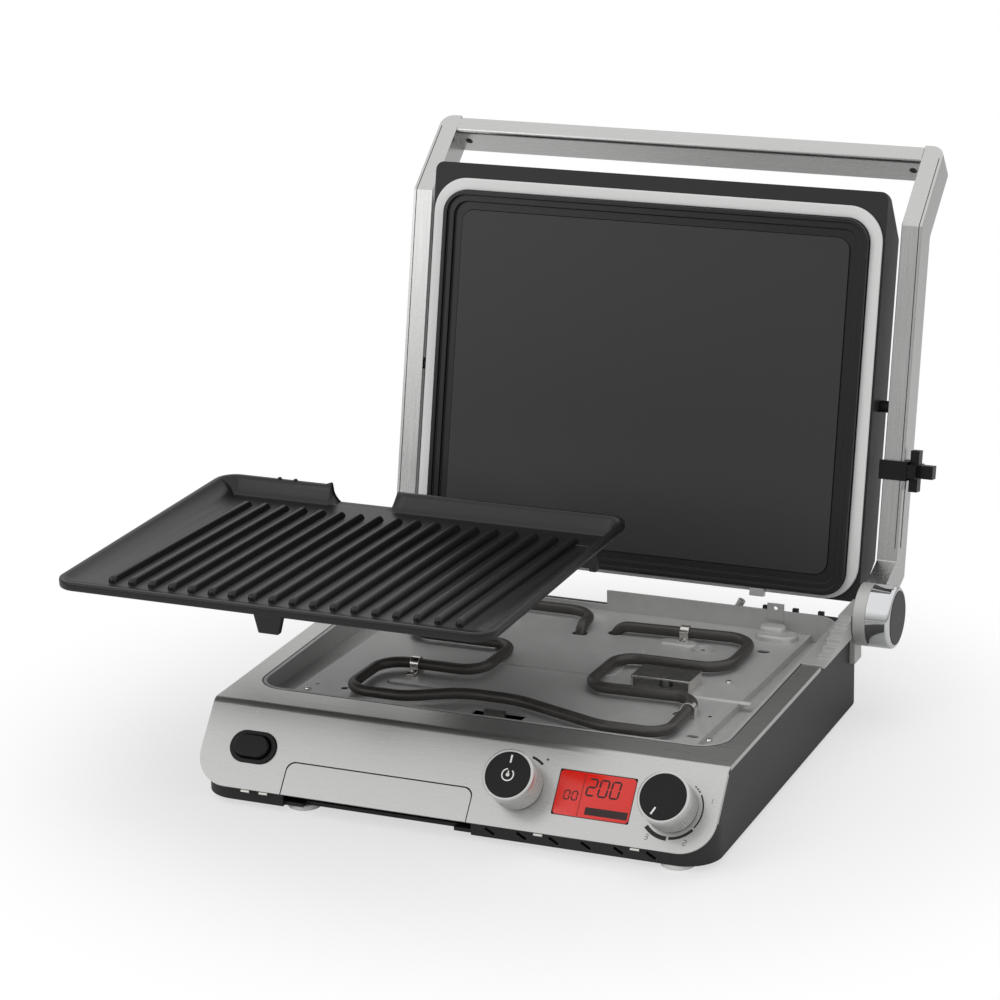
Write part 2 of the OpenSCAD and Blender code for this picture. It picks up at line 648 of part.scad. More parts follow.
// Clips, each on one stretch of the rod and part way along it
clip_places = [[0, 0.45], [5, 0.3], [12, 0.33], [16, 0.45]];
function on_route(i, t) = rod_route[i] + t * (rod_route[i + 1] - rod_route[i]);
function heading(i) = atan2(rod_route[i + 1].y - rod_route[i].y, rod_route[i + 1].x - rod_route[i].x);
module clip_shape() {
    rotate([90, 0, 90]) translate([0, 0, -3]) difference() {
        linear_extrude(6) difference() {
            union() {
                circle(rod_r + 1.2);
                translate([-rod_r - 1.2, -rod_lift]) square([2 * rod_r + 2.4, rod_lift]);
            }
            circle(rod_r + run_gap);
        }
    }
    translate([-3, -rod_r - 7, -rod_lift]) cube([6, 6, 1]);
}
module element_clips() color("lightgray") for (p = clip_places) {
    at = on_route(p[0], p[1]);
    on_slope(at.x, at.y, rod_lift) rotate([0, 0, heading(p[0])]) clip_shape();
}

sensor_x = from_right(74.3);
sensor_y = from_mid(-11.5);
module sensor_cover() color("#d0d0d0") on_slope(sensor_x, sensor_y) difference() {
    translate([-20, -12, 0]) cube([40, 24, 8.5]);
    translate([-18.8, -13, -lap]) cube([37.6, 26, 8.3]);
}
module thermostat() color("dimgray") on_slope(sensor_x, sensor_y) {
    translate([0, 0, -pan_t - 8]) cylinder(h = 8, r = 9);
    translate([0, 0, -pan_t]) cylinder(h = 7, r = 4.3);
}
module thermal_fuse() color("gainsboro") on_slope(30, from_mid(40.5), -pan_t - 3) rotate([0, 90, 0])
    cylinder(h = 18, r = 3);

bracket_hook_x = 105.8;
rear_hook_w = 12;
rear_hook_drop = 7;
module rear_bracket() color("#8c8d8e") from_fold() difference() {
    translate([bracket_hook_x + 0.1, pan_y1 - 0.2, -rear_hook_drop + 0.1])
        cube([rear_hook_w - 0.2, 1.5, rear_hook_drop + 4.8]);
    translate([bracket_hook_x + rear_hook_w / 2, pan_y1 + 3, 1.6]) rotate([90, 0, 0])
        cylinder(h = 6, r = 1.4);
}

// Drawer runners, tray and door
module drawer_runners() color("#55565a") from_fold() for (sx = [0, 1]) {
    x = sx == 0 ? tray_x0 - slide_gap - runner_t : tray_x1 + slide_gap;
    lip_x = sx == 0 ? x : x - 4;
    translate([x, tray_y0, floor_top]) cube([runner_t, tray_y1 - tray_y0, 8]);
    translate([lip_x, tray_y0, floor_top]) cube([4 + runner_t, tray_y1 - tray_y0, runner_t]);
}
module drip_tray() color("#2f3032") from_fold() difference() {
    translate([tray_x0, tray_y0, tray_z0]) cube([tray_x1 - tray_x0, tray_y1 - tray_y0, tray_h]);
    translate([tray_x0 + tray_t, tray_y0 + tray_t, tray_z0 + tray_t])
        cube([tray_x1 - tray_x0 - 2 * tray_t, tray_y1 - tray_y0 - 2 * tray_t, tray_h]);
}
module drawer_door() color("silver") difference() {
    union() {
        intersection() {
            door_cut(-seam, sheet_t);
            on_fascia(0, 0, -deep) translate([-body_w, -fascia_len, 0])
                cube([2 * body_w, fascia_len, deep]);
        }
        for (x = [door_x0 + 14, door_x1 - 18]) from_fold() span(x, x + 4)
            polygon([[tray_y0, tray_z0 + 6], [tray_y0, tray_z0 + tray_h - 2], [-24, -29], [-34, -41]]);
    }
    door_behind();
}
module door_behind() difference() {
    above_fascia(0);
    above_fascia(-deep);
}

// Electronics behind the fascia
module control_board() color("darkgreen") on_fascia(board_x0, board_s1, board_out - board_t)
    cube([board_x1 - board_x0, board_s1 - board_s0, board_t]);
module display_module() color("#303030") on_fascia(display_x, display_s + display_h, board_out)
    cube([display_w, display_h, -board_out - 2.4]);
module display_window() color("orangered") on_fascia(display_x + display_w / 2, display_s + display_h / 2, -2.1)
    slab(display_w, display_h, 1.6, 1);
module control_base(x) on_fascia(x, knob_s, board_out) difference() {
    union() {
        translate([-7, -7, 0]) cube([14, 14, 6]);
        cylinder(h = -board_out - 0.4, r = shaft_r + 1.6);
    }
    translate([0, 0, lap]) cylinder(h = 20, r = shaft_r + run_gap);
}
module timer_encoder() color("gray") control_base(timer_x);
module heat_switch() color("gray") control_base(heat_x);
module knob_shell(x) on_fascia(x, knob_s, 0.8) difference() {
    rotate_extrude() difference() {
        square([knob_r, knob_h]);
        translate([0, 1.5]) square([knob_r - 2, knob_h - 4]);
        translate([0, knob_h - 1.2]) square([knob_face_r + run_gap, 4]);
        translate([0, -lap]) square([shaft_r + 2, knob_h - 6]);
        translate([knob_r - 0.8, -lap]) square([2, 1.8 + lap]);
    }
    translate([0, 0, -lap]) cylinder(h = 3, r = shaft_r + 2);
}
module knob_disc(x) on_fascia(x, knob_s, 0.8 + knob_h - 1.2) cylinder(h = 1.2, r = knob_face_r);
module knob_shaft(x) on_fascia(x, knob_s, board_out + lap + 0.2)
    cylinder(h = -board_out - lap - 0.2 + 0.8 + knob_h - 2.5, r = shaft_r);
module timer_knob() color("silver") knob_shell(timer_x);
module timer_disc() color("#1b1b1c") knob_disc(timer_x);
module timer_shaft() color("gray") knob_shaft(timer_x);
module heat_knob() color("silver") knob_shell(heat_x);
module heat_disc() color("#1b1b1c") knob_disc(heat_x);
module heat_shaft() color("gray") knob_shaft(heat_x);

power_z = floor_top + 7;
power_x0 = 40;
power_y0 = 70;
power_w = 110;
power_d = 125;
power_posts = [for (i = [0, 1], j = [0, 1]) [power_x0 + 6 + i * (power_w - 12), power_y0 + 6 + j * (power_d - 12)]];
module power_board() color("darkgreen") from_fold() translate([power_x0, power_y0, power_z]) {
    cube([power_w, power_d, 1.6]);
    translate([18, 20, 1.6]) cube([30, 16, 13]);
    translate([18, 44, 1.6]) cube([30, 16, 13]);
    translate([70, 24, 1.6]) cube([24, 30, 12]);
    translate([72, 80, 1.6]) cylinder(h = 14, r = 6);
    translate([30, 90, 1.6]) cube([20, 10, 8]);
}
module terminal_block() color("ivory") from_fold() difference() {
    translate([95, 218, floor_top]) cube([46, 18, 15]);
    for (i = [0 : 3]) translate([101.5 + i * 11, 227, floor_top + 7]) cylinder(h = 10, r = 2.4);
}
gland_x = 118;
gland_z = -38;
gland_r = 7;
module cord_gland() color("#222223") from_fold() translate([gland_x, body_d, gland_z]) rotate([-90, 0, 0]) {
    translate([0, 0, -wall_t - 4]) tube(wall_t + 4, gland_r, 4);
    tube(2, gland_r + 2, 4);
}

// Release button and latch
module button_surround() color("#161617") on_fascia(button_x, knob_s, -3.6) difference() {
    union() {
        pill(button_w + 3.6, button_h + 3.6, 4);
        translate([0, 0, 3.6]) pill(button_w + 8, button_h + 6, 1.4);
    }
    translate([0, 0, -lap]) pill(button_w + 2 * slide_gap, button_h + 2 * slide_gap, 8);
}
module release_button() color("#0e0e0f") on_fascia(button_x, knob_s, -9) {
    pill(button_w, button_h, 9 + 1.6 + button_travel);
    translate([0, 0, 9 - stem_len]) cylinder(h = stem_len, r = stem_r);
}
module plate_latch() color("#77787a") from_fold() {
    translate([button_x - 4, latch_y, latch_z]) cube([16 - button_x, 6, latch_t]);
    translate([tongue_x, latch_y, latch_z]) cube([tongue_w, tooth_y + 7 - latch_y, latch_t]);
    translate([tongue_x, tooth_y, latch_z]) cube([tongue_w, 3.5, -latch_z - 1.5]);
    translate([button_x - 4, latch_y, latch_z]) cube([8, 19, latch_t]);
    translate([button_x - 4, latch_y, -44]) cube([8, 3, latch_z + 45]);
}

// Conduit for the lid's wires, at the rear
conduit_x = 77;
conduit_z = -14;
conduit_r = 2.6;
// Short enough to leave the lid room when it tilts back
conduit_len = 18;
module wire_conduit() color("#2a2a2b") from_fold() {
    translate([conduit_x, body_d + conduit_r + 0.1, conduit_z]) rotate([0, 28, 0])
        tube(conduit_len, conduit_r, conduit_r - 1);
    translate([conduit_x, body_d - wall_t - 1, conduit_z]) rotate([-90, 0, 0])
        cylinder(h = wall_t + 1 + 2 * conduit_r, r = conduit_r + 1);
}

// Hinge brackets with their stepped fronts
bracket_steps = [[14, 0.5], [24, 2.4], [32, 4.8], [40, 7.4], [48, 10], [57, 12.4]];
bracket_top = 14.5;
module bracket_outline() polygon(concat([[strip_len + 0.4, -housing_skin], [strip_len + 0.4, bracket_steps[0].y]],
    [for (i = [0 : 5]) each [[strip_len + bracket_steps[i].x, bracket_steps[i].y],
        [strip_len + bracket_steps[i].x, i < 5 ? bracket_steps[i + 1].y : bracket_top]]],
    [[body_d - 4, bracket_top], [body_d, bracket_top - 4], [body_d, -housing_skin]]));
module hinge_bracket() color("#b9b9b8") difference() {
    union() {
        from_fold() translate([bracket_x0, strip_len + 0.4, -housing_skin])
            cube([bracket_x2 - bracket_x0 + lap, bracket_len - 0.4, housing_skin + bracket_steps[0].y]);
        from_fold() span(bracket_x2, housing_half + side_gap) bracket_outline();
        from_fold() span(housing_half + side_gap, bracket_x1) bracket_outline();
        from_fold() translate([housing_half + side_gap, body_d - 29, -22])
            cube([bracket_x1 - housing_half - side_gap, 15, 22 - housing_skin]);
    }
    at_hinge() along_x(bracket_x0 - lap, bracket_x1 + lap, axle_r + 0.02);
    from_fold() translate([bracket_x0 - lap, strip_len, -2 * housing_skin])
        cube([opening_w / 2 - bracket_x0 + 0.1 + lap, body_d, 2 * housing_skin + 0.1]);
}
module hinge_bracket_right() hinge_bracket();
module hinge_bracket_left() mirror([1, 0, 0]) hinge_bracket();
module hinge_axles() color("gray") at_hinge() both_sides() along_x(bracket_x2 + 1, axle_x1, axle_r);

// Barrels, caps and discs
module hinge_barrels() color("#b5b5b4") at_hinge() both_sides() difference() {
    along_x(barrel_x0, barrel_x1, barrel_r);
    along_x(barrel_x0 - lap, barrel_x1 + lap, axle_r + run_gap);
}
cap_round = 3;
module hinge_caps() color("gainsboro") at_hinge() both_sides() difference() {
    union() {
        along_x(barrel_x1, cap_x1 - cap_round, barrel_r);
        along_x(cap_x1 - cap_round, cap_x1, barrel_r - cap_round);
        translate([cap_x1 - cap_round, 0, 0]) rotate([0, 90, 0]) rotate_extrude()
            translate([barrel_r - cap_round, 0]) intersection() {
                circle(cap_round);
                square(cap_round);
            }
    }
    along_x(barrel_x1 - lap, axle_x1 + lap, axle_r + run_gap);
    along_x(cap_x1 - disc_t, cap_x1 + lap, barrel_r - cap_round + run_gap);
}
module hinge_discs() color("#2b2b2d") at_hinge() both_sides()
    along_x(cap_x1 - disc_t, cap_x1 + 0.3, barrel_r - cap_round);

// Arms
module arm_outline() polygon(concat(arm_edge, flip(beside(arm_edge, -arm_d))));
module arm_shape() difference() {
    on_lid() span(arm_x0, arm_x1) arm_outline();
    at_hinge() along_x(arm_x0 - lap, barrel_x0, arm_reach);
    at_hinge() along_x(arm_x0 - lap, arm_x1 + lap, barrel_r + 0.1);
    on_lid() translate([0, pivot_v, pivot_w]) along_x(arm_x0 - lap, arm_x0 + 6, pivot_r + 0.02);
    at_handle() translate([arm_x1, 0, -arm_d - lap]) linear_extrude(arm_d + 2 * lap) mirror([0, 1, 0])
        corner_cut(arm_corner_r);
}
module arm_right() color("silver") difference() {
    arm_shape();
    on_lid() translate([arm_x1 - 4, stop_v - stop_travel - 8, stop_w - 1.6]) cube([5, stop_travel + 14, 3.2]);
}
module arm_left() color("silver") mirror([1, 0, 0]) arm_shape();
module at_handle() on_lid() translate([0, arm_tip.x, arm_tip.y]) rotate([-arm_kink, 0, 0]) children();
handle_r = 4;
module handle_bar() color("silver") at_handle() difference() {
    union() {
        translate([-arm_x0, -handle_h, -arm_d]) cube([2 * arm_x0, handle_h, arm_d - handle_r]);
        translate([-arm_x0, handle_r - handle_h, -handle_r - lap])
            cube([2 * arm_x0, handle_h - 2 * handle_r, handle_r + lap]);
        for (v = [handle_r - handle_h, -handle_r]) translate([0, v, -handle_r]) along_x(-arm_x0, arm_x0, handle_r);
    }
    both_sides() translate([arm_x0 - 7, -handle_h - lap, -arm_d / 2]) rotate([-90, 0, 0])
        cylinder(h = 10, r = 2.7);
}
module handle_screws() color("dimgray") at_handle() both_sides()
    translate([arm_x0 - 7, -handle_h + 0.5, -arm_d / 2]) rotate([-90, 0, 0]) screw(2.6, 1.5, 1.5, 6);
module pivot_pins() color("#1c1c1d") on_lid() translate([0, pivot_v, pivot_w]) both_sides()
    along_x(lid_half - lid_t, arm_x0 + 5.5, pivot_r);

// Height stop
module height_slider() color("#1a1a1b") on_lid() translate([0, stop_v - stop_h / 2, 0]) difference() {
    union() {
        translate([arm_x0 - 2.2, 0, -arm_back + slide_gap]) cube([stop_x - arm_x0 + 2.2, stop_h, 3]);
        translate([arm_x1 + slide_gap, 0, stop_w - 8]) cube([stop_x - arm_x1 - slide_gap, stop_h,
            -arm_back - stop_w + 8 + slide_gap]);
        translate([0, stop_h / 2, stop_w]) along_x(arm_x1 - 3, arm_x1 + 1, 1.3);
    }
    translate([0, stop_h / 2, stop_w]) along_x(arm_x1 + 1, stop_x + lap, shaft_r + run_gap);
}
module height_knob() color("#141415") on_lid() translate([0, stop_v, stop_w]) {
    along_x(arm_x1 + 1.2, stop_x + 1, shaft_r);
    translate([stop_x + slide_gap, -knob_arm, -knob_bar / 2]) cube([6, 2 * knob_arm, knob_bar]);
    translate([stop_x + slide_gap, -knob_bar / 2, -knob_arm + 3]) cube([6, knob_bar, 2 * knob_arm - 6]);
    translate([stop_x + slide_gap, -knob_bar / 2, -knob_bar / 2]) cube([16, knob_bar, knob_bar]);
}

// Lid
module lid_outline(inset) polygon([[lid_v0 + inset, lid_front - inset], [lid_v1 - inset, lid_front - inset],
    [lid_v1 - inset, lid_front - 3 - inset * 0.6], [lid_v1 - lid_chamfer - inset * 0.6, -lid_deep + inset],
    [lid_v0 + 25 + inset * 0.4, -lid_deep + inset], [lid_v0 + inset, lid_front - 4 - inset * 0.6]]);
module lid_slab(inset, r) intersection() {
    span(-lid_half + inset, lid_half - inset) lid_outline(inset);
    translate([0, (lid_v0 + lid_v1) / 2, -deep / 2])
        slab(2 * (lid_half - inset), lid_v1 - lid_v0 - 2 * inset, deep, r);
}
module plate_slab(inset, w0, w1, r) translate([0, plate_mid, w0])
    slab(2 * (plate_half - inset), plate_len - 2 * inset, w1 - w0, r);
plate_r = 16;
post_places = [for (sx = [-1, 1], v = [plate_v0 + 16.4, plate_v1 - 15.1]) [sx * (plate_half - 12.9), v]];
shelf_places = [for (sx = [-1, 1], v = [plate_mid - 59.35, plate_mid + 60.65]) [sx * (plate_half - 35.9), v]];
tab_x0 = 89;
tab_w = 10;
tab_travel = 2.5;
module tab_way() translate([tab_x0 + 1.5, lid_v0 - 0.5 - tab_travel, -11])
    cube([tab_w - 3, tab_travel + 3.4, 14]);
module lid_housing() color("#2b2b2d") on_lid() difference() {
    union() {
        difference() {
            lid_slab(0, 6);
            lid_slab(lid_t, 4);
            plate_slab(-0.3, -lid_t - 4, 0, plate_r + 0.3);
        }
        for (p = post_places) translate([p.x, p.y, -lid_deep + lid_t - lap])
            cylinder(h = lid_deep - lid_t + lap + plate_back, r = 4.5);
        for (p = shelf_places) translate([p.x, p.y, -lid_deep + lid_t - lap])
            cylinder(h = lid_deep - lid_t + lap + reflector_w, r = 4.5);
    }
    both_sides() translate([0, pivot_v, pivot_w]) along_x(lid_half - lid_t - lap, lid_half + lap,
        pivot_r + run_gap);
    tab_way();
    for (p = post_places) translate([p.x, p.y, -lid_deep - lap]) cylinder(h = 12, r = 1.5);
}
module lid_cover() color("silver") on_lid() translate([0, (lid_v0 + lid_v1) / 2 - 3, -lid_deep - 1.2])
    slab(2 * lid_half - 24, lid_v1 - lid_v0 - 69.5, 1.2, 14);
module lid_screws() color("gray") on_lid() for (p = post_places)
    translate([p.x, p.y, -lid_deep]) cylinder(h = 9, r = 1.46);
module lid_ring() color("#d8d8d8") on_lid() difference() {
    translate([0, (ring_v0 + ring_v1) / 2, lid_front]) slab(2 * ring_half, ring_v1 - ring_v0, 2.5, ring_r);
    plate_slab(-0.3, lid_front - lap, lid_front + 4, plate_r + 0.3);
    tab_way();
}
reflector_w = -20;
reflector_t = 0.8;
reflector_len = [2 * plate_half - 47.8, plate_len - 37.5];
module upper_plate() color("#1f1f20") on_lid() difference() {
    union() {
        difference() {
            plate_slab(0, plate_back, lip_h, plate_r);
            plate_slab(3, 3, lip_h + lap, plate_r - 3);
            plate_slab(7.5, 0.5, lip_h + lap, plate_r - 6);
        }
        plate_slab(field_in, 0, 1.5, 9);
    }
    plate_slab(5, plate_back - lap, -2.5, plate_r - 6);
}
module upper_reflector() color("gainsboro") on_lid() difference() {
    translate([0, plate_mid, reflector_w]) slab(reflector_len.x, reflector_len.y, 8, 10);
    translate([0, plate_mid, reflector_w + reflector_t])
        slab(reflector_len.x - 2 * reflector_t, reflector_len.y - 2 * reflector_t, 8, 10 - reflector_t);
    for (x = [20 - rod_elbow_r, -20 + rod_elbow_r]) translate([x, lid_rod_low, reflector_w - lap])
        cylinder(h = 3, r = rod_r + rod_hole_gap);
}
module upper_element() color("#3c3836") on_lid() translate([0, 0, element_w])
    rod(lid_rod_route, lid_rod_bends, 3);
module upper_clips() color("lightgray") on_lid() for (x = [-70, 70], v = [lid_rod_low, lid_rod_high])
    translate([x, v, element_w]) rotate([90, 0, 90]) translate([0, 0, -3]) linear_extrude(6) difference() {
        union() {
            circle(rod_r + 1.2);
            translate([-rod_r - 1.2, reflector_w + reflector_t - element_w])
                square([2 * rod_r + 2.4, element_w - reflector_w - reflector_t]);
        }
        circle(rod_r + run_gap);
    }
module release_tab() color("#161617") on_lid() {
    translate([tab_x0, lid_v0 - 2.5, lid_front + 2.5 + slide_gap]) cube([tab_w, 5.3, 5]);
    translate([tab_x0 + 2, lid_v0 - 0.5, -10]) cube([tab_w - 4, 3, 12]);
}

// Ribbed plate
module food_outline(drop) polygon([[-ribbed_d / 2 + rim_in - drop, 2 * lap], [-ribbed_d / 2 + rim_in - drop, 0],
    [-ribbed_d / 2 + rim_in + 5, -food_front - drop], [ribbed_d / 2 - rim_in - 6, -food_rear - drop],
    [ribbed_d / 2 - rim_in + drop * 0.8, 0], [ribbed_d / 2 - rim_in + drop * 0.8, 2 * lap]]);
module food_sides(drop) {
    half = ribbed_w / 2 - rim_in + drop * 0.8;
    polygon([[-half, 2 * lap], [-half, 0], [-half + wall_in, -food_rear - drop - 2],
        [half - wall_in, -food_rear - drop - 2], [half, 0], [half, 2 * lap]]);
}
module food_space(drop) intersection() {
    span(-ribbed_w / 2, ribbed_w / 2) food_outline(drop);
    rotate([90, 0, 0]) translate([0, 0, -ribbed_d / 2]) linear_extrude(ribbed_d) food_sides(drop);
    translate([0, 0, -deep / 2]) slab(ribbed_w - 2 * rim_in + 2 * drop * 0.8, ribbed_d - 2 * rim_in + 2 * drop * 0.8,
        deep, ribbed_r - 2);
}
module rib(x) translate([x, 0, 0]) intersection() {
    rotate([90, 0, 0]) translate([0, 0, -ribbed_d / 2]) linear_extrude(ribbed_d) polygon([[-3.2, -deep / 4],
        [-3.2, -food_rear - ribbed_t], [-3.2, -food_rear], [-3, 0], [3, 0], [3.2, -food_rear], [3.2, -deep / 4]]);
    span(-4, 4) {
        y0 = -ribbed_d / 2 + 18;
        y1 = ribbed_d / 2 - 30;
        slope = (food_rear - food_front) / (ribbed_d - 2 * rim_in - 11);
        z0 = -food_front - (y0 + ribbed_d / 2 - rim_in - 5) * slope;
        z1 = -food_front - (y1 + ribbed_d / 2 - rim_in - 5) * slope;
        polygon([[y0, z0 - 1], [y0 + 1.5, z0 + rib_h - 1.2], [y0 + 4, z0 + rib_h - 0.2], [y1 - 3, z1 + rib_h],
            [y1, z1 + rib_h - 2], [y1 + 1, z1 - 1]]);
    }
}
module ribbed_plate() color("#222223") from_fold() translate(ribbed_at) {
    difference() {
        union() {
            translate([0, 0, -skirt_h]) slab(ribbed_w, ribbed_d, skirt_h, ribbed_r);
            intersection() {
                food_space(ribbed_t);
                translate([-deep, -deep, -deep]) cube([2 * deep, 2 * deep, deep]);
            }
            translate([1.9, -ribbed_d / 2, -skirt_h - 11.3]) rotate([-90, 0, 0]) linear_extrude(5)
                polygon([[-6.7, 0], [6.7, 0], [9.7, -11.3 - lap], [-9.7, -11.3 - lap]]);
        }
        food_space(0);
        translate([-64.3, ribbed_d / 2 - 14, -food_rear]) cube([44.4, 20, food_rear + lap]);
    }
    for (i = [0 : rib_count - 1]) rib(2.8 + (i - (rib_count - 1) / 2) * rib_pitch);
}

base_housing();
bottom_cover();
feet();
bottom_screws();
steel_top();
heater_pan();
lower_element();
element_clips();
sensor_cover();
thermostat();
thermal_fuse();
rear_bracket();
drawer_runners();
control_board();
display_module();
display_window();
timer_encoder();
heat_switch();
power_board();
terminal_block();
cord_gland();
button_surround();
wire_conduit();
hinge_bracket_left();
hinge_bracket_right();
hinge_axles();
fascia_clips();
drip_tray();
drawer_door();
release_button();
plate_latch();
timer_knob();
timer_disc();
timer_shaft();
heat_knob();
heat_disc();
heat_shaft();
arm_left();
arm_right();
handle_bar();
handle_screws();
hinge_barrels();
hinge_caps();
hinge_discs();
pivot_pins();
height_slider();
height_knob();
lid_housing();
lid_cover();
lid_ring();
upper_plate();
upper_element();
upper_reflector();
upper_clips();
lid_screws();
release_tab();
ribbed_plate();
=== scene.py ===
import json
import math

import bmesh
import bpy
from bpy.props import FloatProperty, FloatVectorProperty, IntProperty, PointerProperty, StringProperty
from mathutils import Matrix, Vector


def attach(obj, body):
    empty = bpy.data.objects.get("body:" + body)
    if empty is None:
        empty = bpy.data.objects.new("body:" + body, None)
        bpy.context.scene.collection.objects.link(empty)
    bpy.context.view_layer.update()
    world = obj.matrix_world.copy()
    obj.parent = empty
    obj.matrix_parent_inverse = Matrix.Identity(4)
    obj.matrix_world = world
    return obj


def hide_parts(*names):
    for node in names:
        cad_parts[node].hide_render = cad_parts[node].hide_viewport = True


bl_info = {
    "name": "Indoor contact grill",
    "version": (1, 0, 0),
    "blender": (4, 5, 0),
    "location": "View3D > Sidebar > Grill",
    "description": "Builds the visible pieces and finishes of an indoor grill with its lid open",
    "category": "Object",
}

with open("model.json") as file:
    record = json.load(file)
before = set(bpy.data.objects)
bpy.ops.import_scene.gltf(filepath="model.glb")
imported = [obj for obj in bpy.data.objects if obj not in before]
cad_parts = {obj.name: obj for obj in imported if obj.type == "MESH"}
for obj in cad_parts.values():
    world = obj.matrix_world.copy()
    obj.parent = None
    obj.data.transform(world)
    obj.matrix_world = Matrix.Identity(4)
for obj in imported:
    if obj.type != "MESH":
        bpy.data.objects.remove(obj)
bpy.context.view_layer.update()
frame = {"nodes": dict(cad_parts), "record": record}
BODY = {n: body for body, nodes in frame["record"]["behaviour"]["bodies"].items() for n in nodes}

# Places on the grill, in millimetres and degrees, from the same sizes as the solids
LEAN = math.radians(39.3)
LID_LEAN = math.radians(12.1)
FOLD = Matrix.Translation((0, -0.119575, 0.058)) @ Matrix.Scale(0.001, 4)
FASCIA = FOLD @ Matrix.Rotation(math.pi / 2 - LEAN, 4, "X")
PAN_FRONT = 28.8
SLOPE = FOLD @ Matrix.Translation((0, PAN_FRONT, -5)) @ Matrix.Rotation(-math.radians(2.3), 4, "X")
LID = (FOLD @ Matrix.Translation((0, 257.7 - 12.4 * math.sin(LID_LEAN) + 31 * math.cos(LID_LEAN),
                                  10 - 12.4 * math.cos(LID_LEAN) - 31 * math.sin(LID_LEAN)))
       @ Matrix.Rotation(math.pi / 2 - LID_LEAN, 4, "X"))
PLATE = FOLD @ Matrix.Translation((-99.6, 49.7, 92.2))
ARM_KINK = math.radians(52) - LID_LEAN


# ---------------------------------------------------------------- helpers

def linear(text, alpha=1.0):
    """An sRGB hex colour as the linear values that a shader takes."""
    parts = [int(text.lstrip("#")[i:i + 2], 16) / 255 for i in (0, 2, 4)]
    return tuple(p / 12.92 if p <= 0.04045 else ((p + 0.055) / 1.055) ** 2.4 for p in parts) + (alpha,)


def add(tree, kind, settings=None, links=None):
    """Adds a node, sets its values by name and joins its inputs to other sockets."""
    node = tree.nodes.new(kind)
    for key, value in (settings or {}).items():
        if isinstance(key, int) or key in node.inputs:
            node.inputs[key].default_value = value
        else:
            setattr(node, key, value)
    for key, source in (links or {}).items():
        tree.links.new(source, node.inputs[key])
    return node


def surface(name, colour, rough, metal=0.0, grain=(1.0, 1.0, 1.0), turn=0.0, tone=0.04, spread=0.05,
            relief=0.0, coat=0.0, detail=3.0, shine=0.5):
    """A finish whose tone, gloss and relief vary in grains of a real size, given in millimetres."""
    mat = bpy.data.materials.new(name)
    mat.use_nodes = True
    tree = mat.node_tree
    tree.nodes.clear()
    where = add(tree, "ShaderNodeTexCoord")
    scaled = add(tree, "ShaderNodeMapping", {"Rotation": (turn, 0, 0)}, {"Vector": where.outputs["Object"]})
    sized = add(tree, "ShaderNodeMapping", {"Scale": [1000 / g for g in grain]}, {"Vector": scaled.outputs[0]})
    noise = add(tree, "ShaderNodeTexNoise", {"Scale": 1.0, "Detail": detail, "Roughness": 0.6},
                {"Vector": sized.outputs[0]})
    base = linear(colour)
    low, high = ([min(1, c * (1 + s * tone)) for c in base[:3]] + [1] for s in (-4, 4))
    ramp = add(tree, "ShaderNodeValToRGB", None, {"Fac": noise.outputs["Fac"]})
    ramp.color_ramp.elements[0].color = low
    ramp.color_ramp.elements[1].color = high
    gloss = add(tree, "ShaderNodeMapRange", {"From Min": 0.3, "From Max": 0.7, "To Min": rough - spread,
                                             "To Max": rough + spread}, {"Value": noise.outputs["Fac"]})
    shader = add(tree, "ShaderNodeBsdfPrincipled", {"Metallic": metal, "Coat Weight": coat,
                                                    "Coat Roughness": 0.15, "Specular IOR Level": shine},
                 {"Base Color": ramp.outputs[0], "Roughness": gloss.outputs[0]})
    if relief:
        bump = add(tree, "ShaderNodeBump", {"Strength": 1.0, "Distance": relief / 1000},
                   {"Height": noise.outputs["Fac"]})
        tree.links.new(bump.outputs[0], shader.inputs["Normal"])
    add(tree, "ShaderNodeOutputMaterial", None, {"Surface": shader.outputs[0]})
    return mat


def finish_of(name):
    return bpy.data.materials[name]


def to_mesh(name, bm, place):
    """A shape drawn in millimetres as a mesh object that sits at the origin, with outward faces."""
    bmesh.ops.remove_doubles(bm, verts=bm.verts, dist=0.0005)
    bmesh.ops.recalc_face_normals(bm, faces=bm.faces)
    mesh = bpy.data.meshes.new(name)
    bm.to_mesh(mesh)
    bm.free()
    mesh.transform(place)
    obj = bpy.data.objects.new(name, mesh)
    bpy.context.scene.collection.objects.link(obj)
    return obj


def settle(obj, material, like, stands_for=False, smooth=35, soften=0.0, steps=2):
    """Gives a piece its finish, its shading and its place on the body of a node."""
    obj.data.materials.clear()
    obj.data.materials.append(finish_of(material))
    for face in obj.data.polygons:
        face.material_index = 0
    obj.data.shade_smooth()
    if soften:
        bevel = obj.modifiers.new("Softened edges", "BEVEL")
        bevel.width = soften / 1000
        bevel.segments = steps
        bevel.limit_method = "ANGLE"
        bevel.angle_limit = math.radians(32)
        bevel.miter_outer = "MITER_ARC"
        even = obj.modifiers.new("Even shading", "WEIGHTED_NORMAL")
        even.keep_sharp = True
        even.weight = 80
    else:
        obj.data.set_sharp_from_angle(angle=math.radians(smooth))
    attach(obj, BODY[like])
    if stands_for:
        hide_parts(like)
    return obj


def dressed(node, material, soften=0.4, steps=2):
    """A copy of a solid with merged faces and softened edges, which stands for it."""
    bm = bmesh.new()
    bm.from_mesh(frame["nodes"][node].data)
    bmesh.ops.remove_doubles(bm, verts=bm.verts, dist=2e-6)
    bmesh.ops.dissolve_limit(bm, angle_limit=math.radians(0.4), verts=bm.verts, edges=bm.edges)
    mesh = bpy.data.meshes.new(node + "_shown")
    bm.to_mesh(mesh)
    bm.free()
    obj = bpy.data.objects.new(node + "_shown", mesh)
    bpy.context.scene.collection.objects.link(obj)
    return settle(obj, material, node, stands_for=True, soften=soften, steps=steps)


